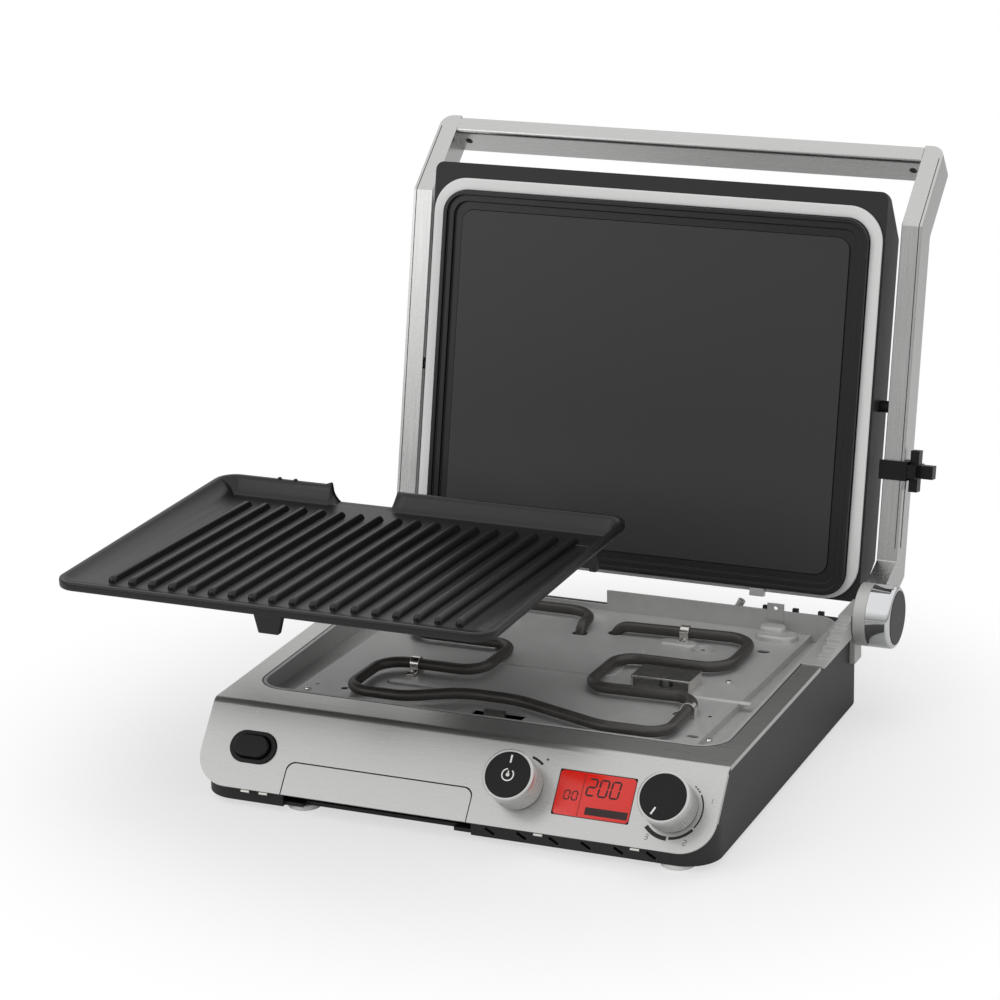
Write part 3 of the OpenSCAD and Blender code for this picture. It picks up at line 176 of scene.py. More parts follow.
def coated(node, material):
    """A node that stays as it is, with a finish in its slots."""
    obj = frame["nodes"][node]
    obj.data.materials.clear()
    obj.data.materials.append(finish_of(material))
    for face in obj.data.polygons:
        face.material_index = 0


def arc(cx, cy, r, start, end, steps):
    """Points round a centre, angles in degrees."""
    turns = [math.radians(start + (end - start) * i / steps) for i in range(steps + 1)]
    return [Vector((cx + r * math.cos(t), cy + r * math.sin(t))) for t in turns]


def rounded(w, d, r, steps=8, cx=0.0, cy=0.0):
    """The outline of a rectangle with rounded corners."""
    x, y = w / 2 - r, d / 2 - r
    return (arc(cx + x, cy + y, r, 0, 90, steps) + arc(cx - x, cy + y, r, 90, 180, steps)
            + arc(cx - x, cy - y, r, 180, 270, steps) + arc(cx + x, cy - y, r, 270, 360, steps))


def prism(bm, outline, low, high):
    """Adds an outline drawn up from one height to another, closed at both ends."""
    rings = [[bm.verts.new((p[0], p[1], z)) for p in outline] for z in (low, high)]
    bm.faces.new(rings[0][::-1])
    bm.faces.new(rings[1])
    for i in range(len(outline)):
        j = (i + 1) % len(outline)
        bm.faces.new((rings[0][i], rings[0][j], rings[1][j], rings[1][i]))
    return bm


def stack(bm, rings):
    """Adds a closed skin through rings with the same number of points."""
    made = [[bm.verts.new(p) for p in ring] for ring in rings]
    for low, high in zip(made, made[1:]):
        for i in range(len(low)):
            j = (i + 1) % len(low)
            bm.faces.new((low[i], low[j], high[j], high[i]))
    bm.faces.new(made[0][::-1])
    bm.faces.new(made[-1])
    return bm


def turned(bm, profile, steps=72):
    """Adds a turned shape from (radius, height) points, from the bottom pole to the top pole."""
    rings = [[Vector((r * math.cos(2 * math.pi * i / steps), r * math.sin(2 * math.pi * i / steps), z))
              for i in range(steps)] for r, z in profile]
    return stack(bm, rings)


def hoop(bm, profile, steps=40, cx=0.0, cy=0.0):
    """Adds a turned ring from the closed loop of its section's (radius, height) points."""
    rings = [[bm.verts.new((cx + r * math.cos(2 * math.pi * i / steps), cy + r * math.sin(2 * math.pi * i / steps), z))
              for i in range(steps)] for r, z in profile]
    for low, high in zip(rings, rings[1:] + rings[:1]):
        for i in range(steps):
            j = (i + 1) % steps
            bm.faces.new((low[i], low[j], high[j], high[i]))
    return bm


def soft_min(a, b, r):
    """The smaller of two depths, with a fillet of radius r where they meet."""
    h = max(0.0, min(1.0, 0.5 + 0.5 * (b - a) / r))
    return b * (1 - h) + a * h - r * h * (1 - h)


def geometry_tree(name, inputs):
    """A tree with named inputs for its sizes and one geometry output."""
    tree = bpy.data.node_groups.new(name, "GeometryNodeTree")
    tree.interface.new_socket("Geometry", in_out="INPUT", socket_type="NodeSocketGeometry")
    for label, kind in inputs:
        tree.interface.new_socket(label, in_out="INPUT", socket_type="NodeSocket" + kind)
    tree.interface.new_socket("Geometry", in_out="OUTPUT", socket_type="NodeSocketGeometry")
    return tree, add(tree, "NodeGroupInput")


def close_tree(tree, start, made):
    """Ends a tree in real geometry with its material."""
    real = add(tree, "GeometryNodeRealizeInstances", None, {"Geometry": made})
    painted = add(tree, "GeometryNodeSetMaterial", None,
                  {"Geometry": real.outputs[0], "Material": start.outputs["Material"]})
    add(tree, "NodeGroupOutput", None, {"Geometry": painted.outputs[0]})
    return tree


def grown(name, tree, values, mesh, place):
    """Runs a tree on a starting mesh and keeps the result as a plain mesh object."""
    seed = bpy.data.objects.new(name + "_seed", mesh)
    bpy.context.scene.collection.objects.link(seed)
    modifier = seed.modifiers.new("Made from a rule", "NODES")
    modifier.node_group = tree
    for item in tree.interface.items_tree:
        if item.item_type == "SOCKET" and item.in_out == "INPUT" and item.name in values:
            modifier[item.identifier] = values[item.name]
    shaped = seed.evaluated_get(bpy.context.evaluated_depsgraph_get())
    result = bpy.data.meshes.new_from_object(shaped)
    seed.modifiers.clear()
    bpy.data.objects.remove(seed)
    result.transform(place)
    obj = bpy.data.objects.new(name, result)
    bpy.context.scene.collection.objects.link(obj)
    return obj


def path_tree():
    """A round rod along the edges of a path."""
    tree, start = geometry_tree("Rod along a path", [("Radius", "Float"), ("Sides", "Int"), ("Material", "Material")])
    line = add(tree, "GeometryNodeMeshToCurve", None, {"Mesh": start.outputs["Geometry"]})
    ring = add(tree, "GeometryNodeCurvePrimitiveCircle", None,
               {"Resolution": start.outputs["Sides"], "Radius": start.outputs["Radius"]})
    rod = add(tree, "GeometryNodeCurveToMesh", {"Fill Caps": True},
              {"Curve": line.outputs[0], "Profile Curve": ring.outputs[0]})
    return close_tree(tree, start, rod.outputs[0])


def point_tree():
    """A small piece set at every point, turned by the point's own angles."""
    tree, start = geometry_tree("Pieces at points", [("Piece", "Object"), ("Material", "Material")])
    source = add(tree, "GeometryNodeObjectInfo", None, {"Object": start.outputs["Piece"]})
    angles = add(tree, "GeometryNodeInputNamedAttribute", {"data_type": "FLOAT_VECTOR", "Name": "turn"})
    turned_by = add(tree, "FunctionNodeEulerToRotation", None, {0: angles.outputs[0]})
    placed = add(tree, "GeometryNodeInstanceOnPoints", None,
                 {"Points": start.outputs["Geometry"], "Instance": source.outputs["Geometry"],
                  "Rotation": turned_by.outputs[0]})
    return close_tree(tree, start, placed.outputs[0])


def row_tree():
    """Like pieces in a straight row, centred, a pitch apart."""
    tree, start = geometry_tree("Pieces in a row", [("Piece", "Object"), ("Count", "Int"), ("Pitch", "Float"),
                                                    ("Material", "Material")])
    source = add(tree, "GeometryNodeObjectInfo", None, {"Object": start.outputs["Piece"]})
    step = add(tree, "ShaderNodeCombineXYZ", None, {"X": start.outputs["Pitch"]})
    last = add(tree, "ShaderNodeMath", {"operation": "SUBTRACT", 1: 1.0}, {0: start.outputs["Count"]})
    half = add(tree, "ShaderNodeMath", {"operation": "MULTIPLY", 1: -0.5}, {0: last.outputs[0]})
    back = add(tree, "ShaderNodeMath", {"operation": "MULTIPLY"}, {0: half.outputs[0], 1: start.outputs["Pitch"]})
    first = add(tree, "ShaderNodeCombineXYZ", None, {"X": back.outputs[0]})
    line = add(tree, "GeometryNodeMeshLine", None, {"Count": start.outputs["Count"],
                                                    "Start Location": first.outputs[0], "Offset": step.outputs[0]})
    placed = add(tree, "GeometryNodeInstanceOnPoints", None,
                 {"Points": line.outputs[0], "Instance": source.outputs["Geometry"]})
    return close_tree(tree, start, placed.outputs[0])


def ring_tree():
    """Like pieces round a circle, each turned to face out."""
    tree, start = geometry_tree("Pieces round a circle", [("Piece", "Object"), ("Count", "Int"),
                                                          ("Radius", "Float"), ("Material", "Material")])
    source = add(tree, "GeometryNodeObjectInfo", None, {"Object": start.outputs["Piece"]})
    circle = add(tree, "GeometryNodeMeshCircle", None, {"Vertices": start.outputs["Count"],
                                                        "Radius": start.outputs["Radius"]})
    index = add(tree, "GeometryNodeInputIndex")
    share = add(tree, "ShaderNodeMath", {"operation": "DIVIDE"},
                {0: index.outputs[0], 1: start.outputs["Count"]})
    angle = add(tree, "ShaderNodeMath", {"operation": "MULTIPLY", 1: 2 * math.pi}, {0: share.outputs[0]})
    about = add(tree, "ShaderNodeCombineXYZ", None, {"Z": angle.outputs[0]})
    turned_by = add(tree, "FunctionNodeEulerToRotation", None, {0: about.outputs[0]})
    placed = add(tree, "GeometryNodeInstanceOnPoints", None,
                 {"Points": circle.outputs[0], "Instance": source.outputs["Geometry"],
                  "Rotation": turned_by.outputs[0]})
    return close_tree(tree, start, placed.outputs[0])


def rule(name, make):
    return bpy.data.node_groups.get(name) or make()


def prototype(bm):
    """A small piece in millimetres that a tree repeats."""
    return to_mesh("pattern_piece", bm, Matrix.Identity(4))


def at_points(name, bm, spots, place, material, like):
    """Copies of a small piece at (x, y, z, turn about z) spots."""
    mesh = bpy.data.meshes.new(name + "_spots")
    mesh.from_pydata([spot[:3] for spot in spots], [], [])
    turns = mesh.attributes.new("turn", "FLOAT_VECTOR", "POINT")
    for item, spot in zip(turns.data, spots):
        item.vector = (0, 0, math.radians(spot[3] if len(spot) > 3 else 0))
    piece = prototype(bm)
    obj = grown(name, rule("Pieces at points", point_tree), {"Piece": piece, "Material": finish_of(material)},
                mesh, place)
    bpy.data.objects.remove(piece)
    return settle(obj, material, like)


def rod_along(name, points, radius, place, material, like, stands_for=False, sides=20):
    """A round rod through points in millimetres."""
    mesh = bpy.data.meshes.new(name + "_path")
    mesh.from_pydata(points, [(i, i + 1) for i in range(len(points) - 1)], [])
    obj = grown(name, rule("Rod along a path", path_tree),
                {"Radius": radius, "Sides": sides, "Material": finish_of(material)}, mesh, place)
    return settle(obj, material, like, stands_for=stands_for, smooth=50)


def route(corners, bends, steps=10):
    """A route with its corners rounded, as points."""
    corners = [Vector(c) for c in corners]
    points = [corners[0]]
    for before, here, after, r in zip(corners, corners[1:], corners[2:], bends[1:]):
        u, v = (here - before).normalized(), (after - here).normalized()
        angle = u.angle_signed(v) * -1
        reach = r * math.tan(abs(angle) / 2)
        side = Vector((-u.y, u.x)) * (1 if angle > 0 else -1)
        middle = here - u * reach + side * r
        for i in range(steps + 1):
            t = angle * i / steps
            spoke = -side * r
            points.append(middle + Vector((spoke.x * math.cos(t) - spoke.y * math.sin(t),
                                           spoke.x * math.sin(t) + spoke.y * math.cos(t))))
    return points + [corners[-1]]


def rod_path(corners, bends, height, drop):
    """A heating rod's whole path: up from below, round its route, and down again."""
    flat = route(corners, bends)
    ends = []
    for here, inside in ((flat[0], flat[1]), (flat[-1], flat[-2])):
        out = (here - inside).normalized()
        curve = [(here.x + out.x * 9 * math.sin(t), here.y + out.y * 9 * math.sin(t), height - 9 + 9 * math.cos(t))
                 for t in (math.radians(15 * i) for i in range(1, 7))]
        curve.append((here.x + out.x * 9, here.y + out.y * 9, height - 9 - drop))
        ends.append(curve)
    return ends[0][::-1] + [(p.x, p.y, height) for p in flat] + ends[1]


def sector(bm, cx, cy, inner, outer, start, end, low, high, steps=16):
    """A printed arc: clock angles in degrees, 0 up the slope and growing to the right."""
    out = arc(cx, cy, outer, 90 - start, 90 - end, steps)
    back = arc(cx, cy, inner, 90 - end, 90 - start, steps)
    return prism(bm, out + back, low, high)


SEGMENTS = {"0": "abcdef", "1": "bc", "2": "abged", "3": "abgcd", "4": "fgbc", "5": "afgcd", "6": "afgedc",
            "7": "abc", "8": "abcdefg", "9": "abcdfg"}


def digit(bm, mark, x, y, w, h, thick, low, high, slant=0.08):
    """A seven-bar number, its lower left corner at x, y."""
    def bar(x0, y0, x1, y1):
        along = Vector((x1 - x0, y1 - y0)).normalized()
        across = Vector((-along.y, along.x)) * thick / 2
        tip = along * thick / 2
        a, b = Vector((x0, y0)) + along * 0.12, Vector((x1, y1)) - along * 0.12
        outline = [a, a + tip - across, b - tip - across, b, b - tip + across, a + tip + across]
        prism(bm, [(p.x + slant * (p.y - y), p.y) for p in outline], low, high)
    half, top = y + h / 2, y + h
    places = {"a": (x, top, x + w, top), "b": (x + w, half, x + w, top), "c": (x + w, y, x + w, half),
              "d": (x, y, x + w, y), "e": (x, y, x, half), "f": (x, half, x, top), "g": (x, half, x + w, half)}
    for name in SEGMENTS[mark]:
        bar(*places[name])


# ---------------------------------------------------------------- sizes and colours

class GrillSizes(bpy.types.PropertyGroup):
    """Sizes that a user would change, in millimetres."""
    ribs: IntProperty(name="Ribs", description="Number of ribs on the grill plate", default=18, min=8, max=18)
    rib_pitch: FloatProperty(name="Rib pitch", description="Distance between ribs", default=13.8, min=12, max=13.9)
    rib_width: FloatProperty(name="Rib width", description="Width of a rib at its top", default=5.6, min=3, max=8)
    knurls: IntProperty(name="Knurls", description="Number of grip ridges round a knob", default=64, min=24, max=90)
    rod_radius: FloatProperty(name="Rod radius", description="Radius of the heating rods", default=3.6, min=3, max=4)
    edge: FloatProperty(name="Edge radius", description="Radius of the softened metal edges", default=0.5, min=0.1,
                        max=0.9)
    temperature: StringProperty(name="Temperature", description="Number shown on the display", default="200")
    minutes: StringProperty(name="Minutes", description="Number at the display's left", default="00")


class GrillColours(bpy.types.PropertyGroup):
    """Colours of the main finishes, as sRGB hex values."""
    steel: StringProperty(name="Steel", description="Brushed stainless steel", default="#c6c6c4")
    arm: StringProperty(name="Arms", description="Brushed aluminium of arms and handle", default="#c8c8c7")
    side: StringProperty(name="Housing", description="Moulded plastic of the base", default="#222223")
    lid: StringProperty(name="Lid", description="Moulded plastic of the lid", default="#2a2a2b")
    pan: StringProperty(name="Pan", description="Coated sheet of the heater pan", default="#c2c2c1")
    coating: StringProperty(name="Coating", description="Non-stick coating of both plates", default="#070708")
    ring: StringProperty(name="Ring", description="Satin ring round the upper plate", default="#ededec")
    display: StringProperty(name="Display", description="Back-lit display", default="#cf2014")


class GrillStage(bpy.types.PropertyGroup):
    """The camera and the lamps."""
    lens: FloatProperty(name="Lens", description="Focal length on a 36 mm sensor", default=121.51, unit="CAMERA")
    key: FloatProperty(name="Key lamp", description="Power of the main lamp", default=14.0, unit="POWER")
    fill: FloatProperty(name="Fill lamp", description="Power of the side lamp", default=5.0, unit="POWER")
    sky: FloatProperty(name="Sky", description="Strength of the even light", default=0.5, min=0, max=2)


# ---------------------------------------------------------------- stage

class GRILL_OT_stage(bpy.types.Operator):
    """Camera at the photograph's angle, pale floor and soft studio lamps"""
    bl_idname = "grill.stage"
    bl_label = "Stage"

    def execute(self, context):
        scene = context.scene
        stage = scene.grill_stage
        data = bpy.data.cameras.new("Camera")
        data.lens = stage.lens
        data.sensor_width = 36
        camera = bpy.data.objects.new("Camera", data)
        scene.collection.objects.link(camera)
        az, el, roll = (math.radians(a) for a in (23.226, 18.077, -1.291))
        back = Vector((math.sin(az) * math.cos(el), -math.cos(az) * math.cos(el), math.sin(el)))
        right = (-back).cross(Vector((0, 0, 1))).normalized()
        up = back.cross(right)
        x = right * math.cos(roll) + up * math.sin(roll)
        y = up * math.cos(roll) - right * math.sin(roll)
        turn = Matrix((x, y, back)).transposed().to_4x4()
        camera.matrix_world = Matrix.Translation((0.7859, -1.8867, 0.8387)) @ turn
        data.clip_end = 50
        scene.camera = camera

        for name, spot, target, size, power in (
                ("Key lamp", (-1.3, -1.5, 2.3), (0, 0, 0.1), 1.6, stage.key),
                ("Top lamp", (0.2, 0.5, 2.4), (0, 0, 0.1), 1.8, stage.key * 0.8),
                ("Side lamp", (2.2, -0.9, 1.1), (0, 0, 0.15), 1.2, stage.fill)):
            lamp = bpy.data.lights.new(name, "AREA")
            lamp.shape = "SQUARE"
            lamp.size = size
            lamp.energy = power
            obj = bpy.data.objects.new(name, lamp)
            scene.collection.objects.link(obj)
            obj.location = spot
            obj.visible_glossy = False
            obj.rotation_euler = (Vector(target) - Vector(spot)).to_track_quat("-Z", "Y").to_euler()

        box = bpy.data.lights.new("Soft box", "AREA")
        box.shape, box.size, box.size_y, box.energy = "RECTANGLE", 1.1, 0.9, stage.fill
        held = bpy.data.objects.new("Soft box", box)
        scene.collection.objects.link(held)
        held.location = (-1.5, -1.9, 0.95)
        held.rotation_euler = (Vector((-0.05, 0.2, 0.3)) - held.location).to_track_quat("-Z", "Y").to_euler()

        world = bpy.data.worlds.new("Studio")
        scene.world = world
        world.use_nodes = True
        tree = world.node_tree
        tree.nodes.clear()
        path = add(tree, "ShaderNodeLightPath")
        seen = add(tree, "ShaderNodeMath", {"operation": "MAXIMUM"},
                   {0: path.outputs["Is Camera Ray"], 1: path.outputs["Is Transmission Ray"]})
        even = add(tree, "ShaderNodeBackground", {"Color": (1, 1, 1, 1), "Strength": stage.sky})
        white = add(tree, "ShaderNodeBackground", {"Color": (1, 1, 1, 1), "Strength": 1.0})
        # The studio's walls as gloss sees them: pale above, a darker room low in front
        where = add(tree, "ShaderNodeTexCoord")
        parts = add(tree, "ShaderNodeSeparateXYZ", None, {"Vector": where.outputs["Generated"]})
        walls = add(tree, "ShaderNodeValToRGB", None, {"Fac": parts.outputs["Z"]})
        walls.color_ramp.elements[0].position = 0.0
        walls.color_ramp.elements[0].color = (0.28, 0.28, 0.28, 1)
        walls.color_ramp.elements[1].position = 0.5
        walls.color_ramp.elements[1].color = (1, 1, 1, 1)
        glossy = add(tree, "ShaderNodeBackground", {"Strength": 1.0}, {"Color": walls.outputs[0]})
        first = add(tree, "ShaderNodeMixShader", None,
                    {0: path.outputs["Is Glossy Ray"], 1: even.outputs[0], 2: glossy.outputs[0]})
        last = add(tree, "ShaderNodeMixShader", None, {0: seen.outputs[0], 1: first.outputs[0], 2: white.outputs[0]})
        add(tree, "ShaderNodeOutputWorld", None, {"Surface": last.outputs[0]})

        bm = bmesh.new()
        bmesh.ops.create_grid(bm, x_segments=2, y_segments=2, size=6)
        floor = to_mesh("floor", bm, Matrix.Translation((0, 0, -0.0004)))
        # Matt painted floor, which fades to the white of the background away from the object
        mat = bpy.data.materials.new("matt_white_paint")
        mat.use_nodes = True
        tree = mat.node_tree
        tree.nodes.clear()
        paint = add(tree, "ShaderNodeBsdfPrincipled", {"Base Color": (0.9, 0.9, 0.9, 1), "Roughness": 0.9,
                                                       "Specular IOR Level": 0.1})
        glow = add(tree, "ShaderNodeEmission", {"Color": (1, 1, 1, 1), "Strength": 1.0})
        where = add(tree, "ShaderNodeTexCoord")
        away = add(tree, "ShaderNodeVectorMath", {"operation": "LENGTH"}, {0: where.outputs["Object"]})
        fade = add(tree, "ShaderNodeMapRange",
                   {"From Min": 0.22, "From Max": 0.42, "To Min": 0.62, "interpolation_type": "SMOOTHSTEP"},
                   {"Value": away.outputs["Value"]})
        path = add(tree, "ShaderNodeLightPath")
        share = add(tree, "ShaderNodeMath", {"operation": "MULTIPLY"},
                    {0: fade.outputs[0], 1: path.outputs["Is Camera Ray"]})
        both = add(tree, "ShaderNodeMixShader", None, {0: share.outputs[0], 1: paint.outputs[0], 2: glow.outputs[0]})
        add(tree, "ShaderNodeOutputMaterial", None, {"Surface": both.outputs[0]})
        floor.data.materials.append(mat)
        scene.view_settings.view_transform = "Standard"
        return {"FINISHED"}


class GRILL_OT_finishes(bpy.types.Operator):
    """All the finishes, each named for its real material"""
    bl_idname = "grill.finishes"
    bl_label = "Finishes"

    def execute(self, context):
        c = context.scene.grill_colours
        # Stainless steel brushed from side to side: long fine streaks, here 0.5 mm wide so that they show
        surface("brushed_stainless_steel", c.steel, 0.3, 0.85, (60, 0.5, 0.5), tone=0.014, spread=0.04)
        # Aluminium brushed along the arm: streaks up its slope
        surface("brushed_aluminium", c.arm, 0.27, 1.0, (0.8, 0.8, 70), turn=LID_LEAN, tone=0.025, spread=0.05,
                relief=0.003)
        # Handle bar, brushed along its length
        surface("brushed_aluminium_bar", c.arm, 0.27, 1.0, (70, 0.8, 0.8), tone=0.025, spread=0.05,
                relief=0.003)
        # Injection-moulded plastic with a fine spark-eroded texture
        surface("moulded_abs_charcoal", c.side, 0.48, 0.0, (0.8, 0.8, 0.8), tone=0.02, relief=0.01)
        surface("moulded_pbt_black", c.lid, 0.42, 0.0, (0.8, 0.8, 0.8), tone=0.02, relief=0.01, shine=0.35)
        surface("moulded_abs_black", "#0c0c0d", 0.36, 0.0, (0.7, 0.7, 0.7), tone=0.02, relief=0.006, shine=0.28)
        # Cast aluminium under a sprayed non-stick coating: satin, with a faint orange peel
        surface("nonstick_cast_aluminium", c.coating, 0.31, 0.0, (1.6, 1.6, 1.6), tone=0.04, spread=0.04,
                relief=0.012)
        # Flat field of the upper plate: the plates' coating painted a lighter grey, a painted sheen of the pale studio
        surface("nonstick_field_painted_sheen", "#2c2c2d", 0.4, 0.0, (2.5, 2.5, 2.5), tone=0.02, spread=0.03, relief=0.006)
        # Aluminised steel sheet, drawn and coated: satin grey with a soft spangle
        surface("coated_steel_sheet", c.pan, 0.4, 0.3, (7, 7, 7), tone=0.02, spread=0.05, relief=0.01)
        # Sheath of a heating rod, oxidised dark with a little heat tint
        surface("oxidised_alloy_sheath", "#4b4846", 0.44, 0.4, (5, 5, 5), tone=0.07, spread=0.07, relief=0.01)
        # Ring with a satin metallic paint
        surface("satin_silver_paint", c.ring, 0.42, 0.1, (1.2, 1.2, 1.2), tone=0.01, spread=0.03)
        surface("polished_chrome", "#d9dadb", 0.06, 1.0, (30, 30, 30), tone=0.004, spread=0.02)
        # Zinc casting, bead blasted
        surface("blasted_zinc_casting", "#c4c4c2", 0.5, 0.55, (0.7, 0.7, 0.7), tone=0.02, relief=0.012)
        surface("silver_painted_abs", "#cdcdcb", 0.34, 0.6, (0.8, 0.8, 0.8), tone=0.01, spread=0.04)
        surface("bright_spring_steel", "#d2d0cb", 0.22, 1.0, (4, 4, 4), tone=0.02, spread=0.06)
        surface("zinc_plated_steel", "#8a8a88", 0.35, 1.0, (2, 2, 2), tone=0.03, spread=0.06)
        surface("solder_mask_green", "#1d5a35", 0.35, 0.0, (3, 3, 3), tone=0.05)
        surface("white_silicone", "#f2f2ef", 0.5, 0.0, (1, 1, 1), tone=0.01)
        surface("black_silicone", "#1a1a1a", 0.55, 0.0, (1, 1, 1), tone=0.03)
        # Black print ink, also used as painted shade in the rim gap, the arm seams and the pan's pinholes
        surface("black_print_and_painted_shade", "#101010", 0.45, 0.0, (0.5, 0.5, 0.5), tone=0.02)
        surface("screen_ink_white", "#f4f4f2", 0.45, 0.0, (0.5, 0.5, 0.5), tone=0.01)
        # Liquid-crystal display, lit from behind: even red-orange with a faint random tone
        mat = surface("backlit_display", c.display, 0.25, 0.0, (18, 18, 18), tone=0.02, coat=0.3)
        shader = next(n for n in mat.node_tree.nodes if n.type == "BSDF_PRINCIPLED")
        shader.inputs["Emission Color"].default_value = linear(c.display)
        shader.inputs["Emission Strength"].default_value = 0.22
        surface("display_bar_dark", "#240605", 0.4, 0.0, (1, 1, 1), tone=0.02)
        return {"FINISHED"}


# ---------------------------------------------------------------- base

class GRILL_OT_base(bpy.types.Operator):
    """Plastic housing, bottom, feet, rear gland and conduit"""
    bl_idname = "grill.base"
    bl_label = "Base"

    def execute(self, context):
        dressed("base_housing", "moulded_abs_charcoal", 0.6)
        dressed("bottom_cover", "moulded_abs_charcoal", 0.4)
        dressed("feet", "white_silicone", 0.9, 3)
        dressed("cord_gland", "black_silicone", 0.5)
        dressed("wire_conduit", "coated_steel_sheet", 0.3)
        dressed("rear_bracket", "coated_steel_sheet", 0.3)
        for node, material in (("bottom_screws", "zinc_plated_steel"), ("drawer_runners", "moulded_abs_charcoal"),
                               ("control_board", "solder_mask_green"), ("power_board", "solder_mask_green"),
                               ("display_module", "moulded_abs_black"), ("timer_encoder", "zinc_plated_steel"),
                               ("heat_switch", "zinc_plated_steel"), ("terminal_block", "silver_painted_abs"),
                               ("thermostat", "zinc_plated_steel"), ("thermal_fuse", "zinc_plated_steel"),
                               ("plate_latch", "zinc_plated_steel"), ("hinge_axles", "zinc_plated_steel"),
                               ("timer_shaft", "zinc_plated_steel"), ("heat_shaft", "zinc_plated_steel"),
                               ("upper_element", "oxidised_alloy_sheath"), ("upper_clips", "bright_spring_steel"),
                               ("upper_reflector", "bright_spring_steel")):
            coated(node, material)
        return {"FINISHED"}


class GRILL_OT_steel_top(bpy.types.Operator):
    """Folded steel top with its drawer door and the small tabs under its edge"""
    bl_idname = "grill.steel_top"
    bl_label = "Steel top"

    def execute(self, context):
        edge = context.scene.grill_sizes.edge
        dressed("steel_top", "brushed_stainless_steel", edge * 0.6)
        dressed("drawer_door", "brushed_stainless_steel", edge * 0.6)
        dressed("fascia_clips", "bright_spring_steel", 0.2)
        # Painted shadow: a thin black rod along the narrow gap between the steel and the pan's rim stands in for the
        # gap's shade
        gap = route([(159.15, 268), (159.15, 25.95), (-159.15, 25.95), (-159.15, 268)], [0, 20, 20, 0])
        rod_along("rim_gap", [(q.x, q.y, -0.3) for q in gap], 0.42, FOLD, "black_print_and_painted_shade", "steel_top", sides=8)
        dressed("drip_tray", "moulded_abs_charcoal", 0.4)
        return {"FINISHED"}


class GRILL_OT_controls(bpy.types.Operator):
    """Knobs with grip ridges, release button and the prints round them"""
    bl_idname = "grill.controls"
    bl_label = "Controls"

    def execute(self, context):
        sizes = context.scene.grill_sizes
        for kind, x, line_at in (("timer", 43.6, 0), ("heat", 143.4, 205)):
            place = FASCIA @ Matrix.Translation((x, -29, 0.8))
            bm = bmesh.new()
            turned(bm, [(0.01, 6), (5, 6), (5, 0.4), (15.2, 0), (15.7, 0.3), (15.9, 1.6), (16.05, 2), (16.05, 14.2),
                        (16.4, 14.6), (16.5, 15), (16.5, 19.9), (16.3, 20.6), (15.6, 21), (14.75, 21), (14.6, 20.8),
                        (14.6, 19.9), (0.01, 19.9)])
            settle(to_mesh(kind + "_knob_shell", bm, place), "silver_painted_abs", kind + "_knob", True, smooth=28)
            ridge = prism(bmesh.new(), [(-0.2, -0.42), (0.16, -0.38), (0.42, 0), (0.16, 0.38), (-0.2, 0.42)], 2.2, 14)
            piece = prototype(ridge)
            bare = bpy.data.meshes.new(kind + "_grip")
            grip = grown(kind + "_grip", rule("Pieces round a circle", ring_tree),
                         {"Piece": piece, "Count": sizes.knurls, "Radius": 16.05,
                          "Material": finish_of("silver_painted_abs")}, bare, place)
            bpy.data.objects.remove(piece)
            settle(grip, "silver_painted_abs", kind + "_knob")
            bm = bmesh.new()
            turned(bm, [(0.01, 19.8), (14.45, 19.8), (14.5, 20.6), (14.2, 20.9), (0.01, 20.95)])
            settle(to_mesh(kind + "_face", bm, place), "moulded_abs_black", kind + "_disc", True)
            bm = bmesh.new()
            turn = Matrix.Rotation(-math.radians(line_at), 4, "Z")
            prism(bm, [(-0.55, 7.6), (0.55, 7.6), (0.55, 12.6), (-0.55, 12.6)], 20.9, 21.0)
            bm.transform(turn)
            if kind == "timer":
                sector(bm, 0, 0, 3.3, 4.1, 40, 350, 20.9, 21.0, 32)
                sector(bm, 0, 0, 0, 1.2, 0, 359, 20.9, 21.0, 20)
                prism(bm, [(-0.35, 0), (0.35, 0), (0.35, 2.6), (-0.35, 2.6)], 20.9, 21.0)
            settle(to_mesh(kind + "_mark", bm, place), "screen_ink_white", kind + "_disc")

        bm = bmesh.new()
        cx, cy = 143.4, -29
        for start, end, inner, outer in ((36, 40, 18.2, 19.0), (42, 46, 18.2, 19.1), (48, 52, 18.2, 19.2),
                                         (57, 124, 18.3, 19.3), (128, 176, 18.2, 20.0), (180, 226, 18.1, 20.8)):
            sector(bm, cx, cy, inner, outer, start, end, 0.004, 0.03)
        sector(bm, 43.6, -29, 18.6, 20.2, 14, 39, 0.004, 0.03)
        prism(bm, [(57.2, -10.6), (59.4, -10.6), (59.4, -10.1), (57.2, -10.1)], 0.004, 0.03)
        prism(bm, [(58.05, -11.45), (58.55, -11.45), (58.55, -9.25), (58.05, -9.25)], 0.004, 0.03)
        for mark, angle in (("1", 72), ("2", 150), ("3", 212)):
            spot = arc(cx, cy, 23.6, 90 - angle, 90 - angle, 1)[0]
            digit(bm, mark, spot.x - 1, spot.y - 1.6, 1.9, 3.2, 0.42, 0.004, 0.03)
        settle(to_mesh("fascia_print", bm, FASCIA), "black_print_and_painted_shade", "steel_top")

        dressed("button_surround", "moulded_abs_black", 0.6, 3)
        dressed("release_button", "moulded_abs_black", 1.2, 3)
        return {"FINISHED"}


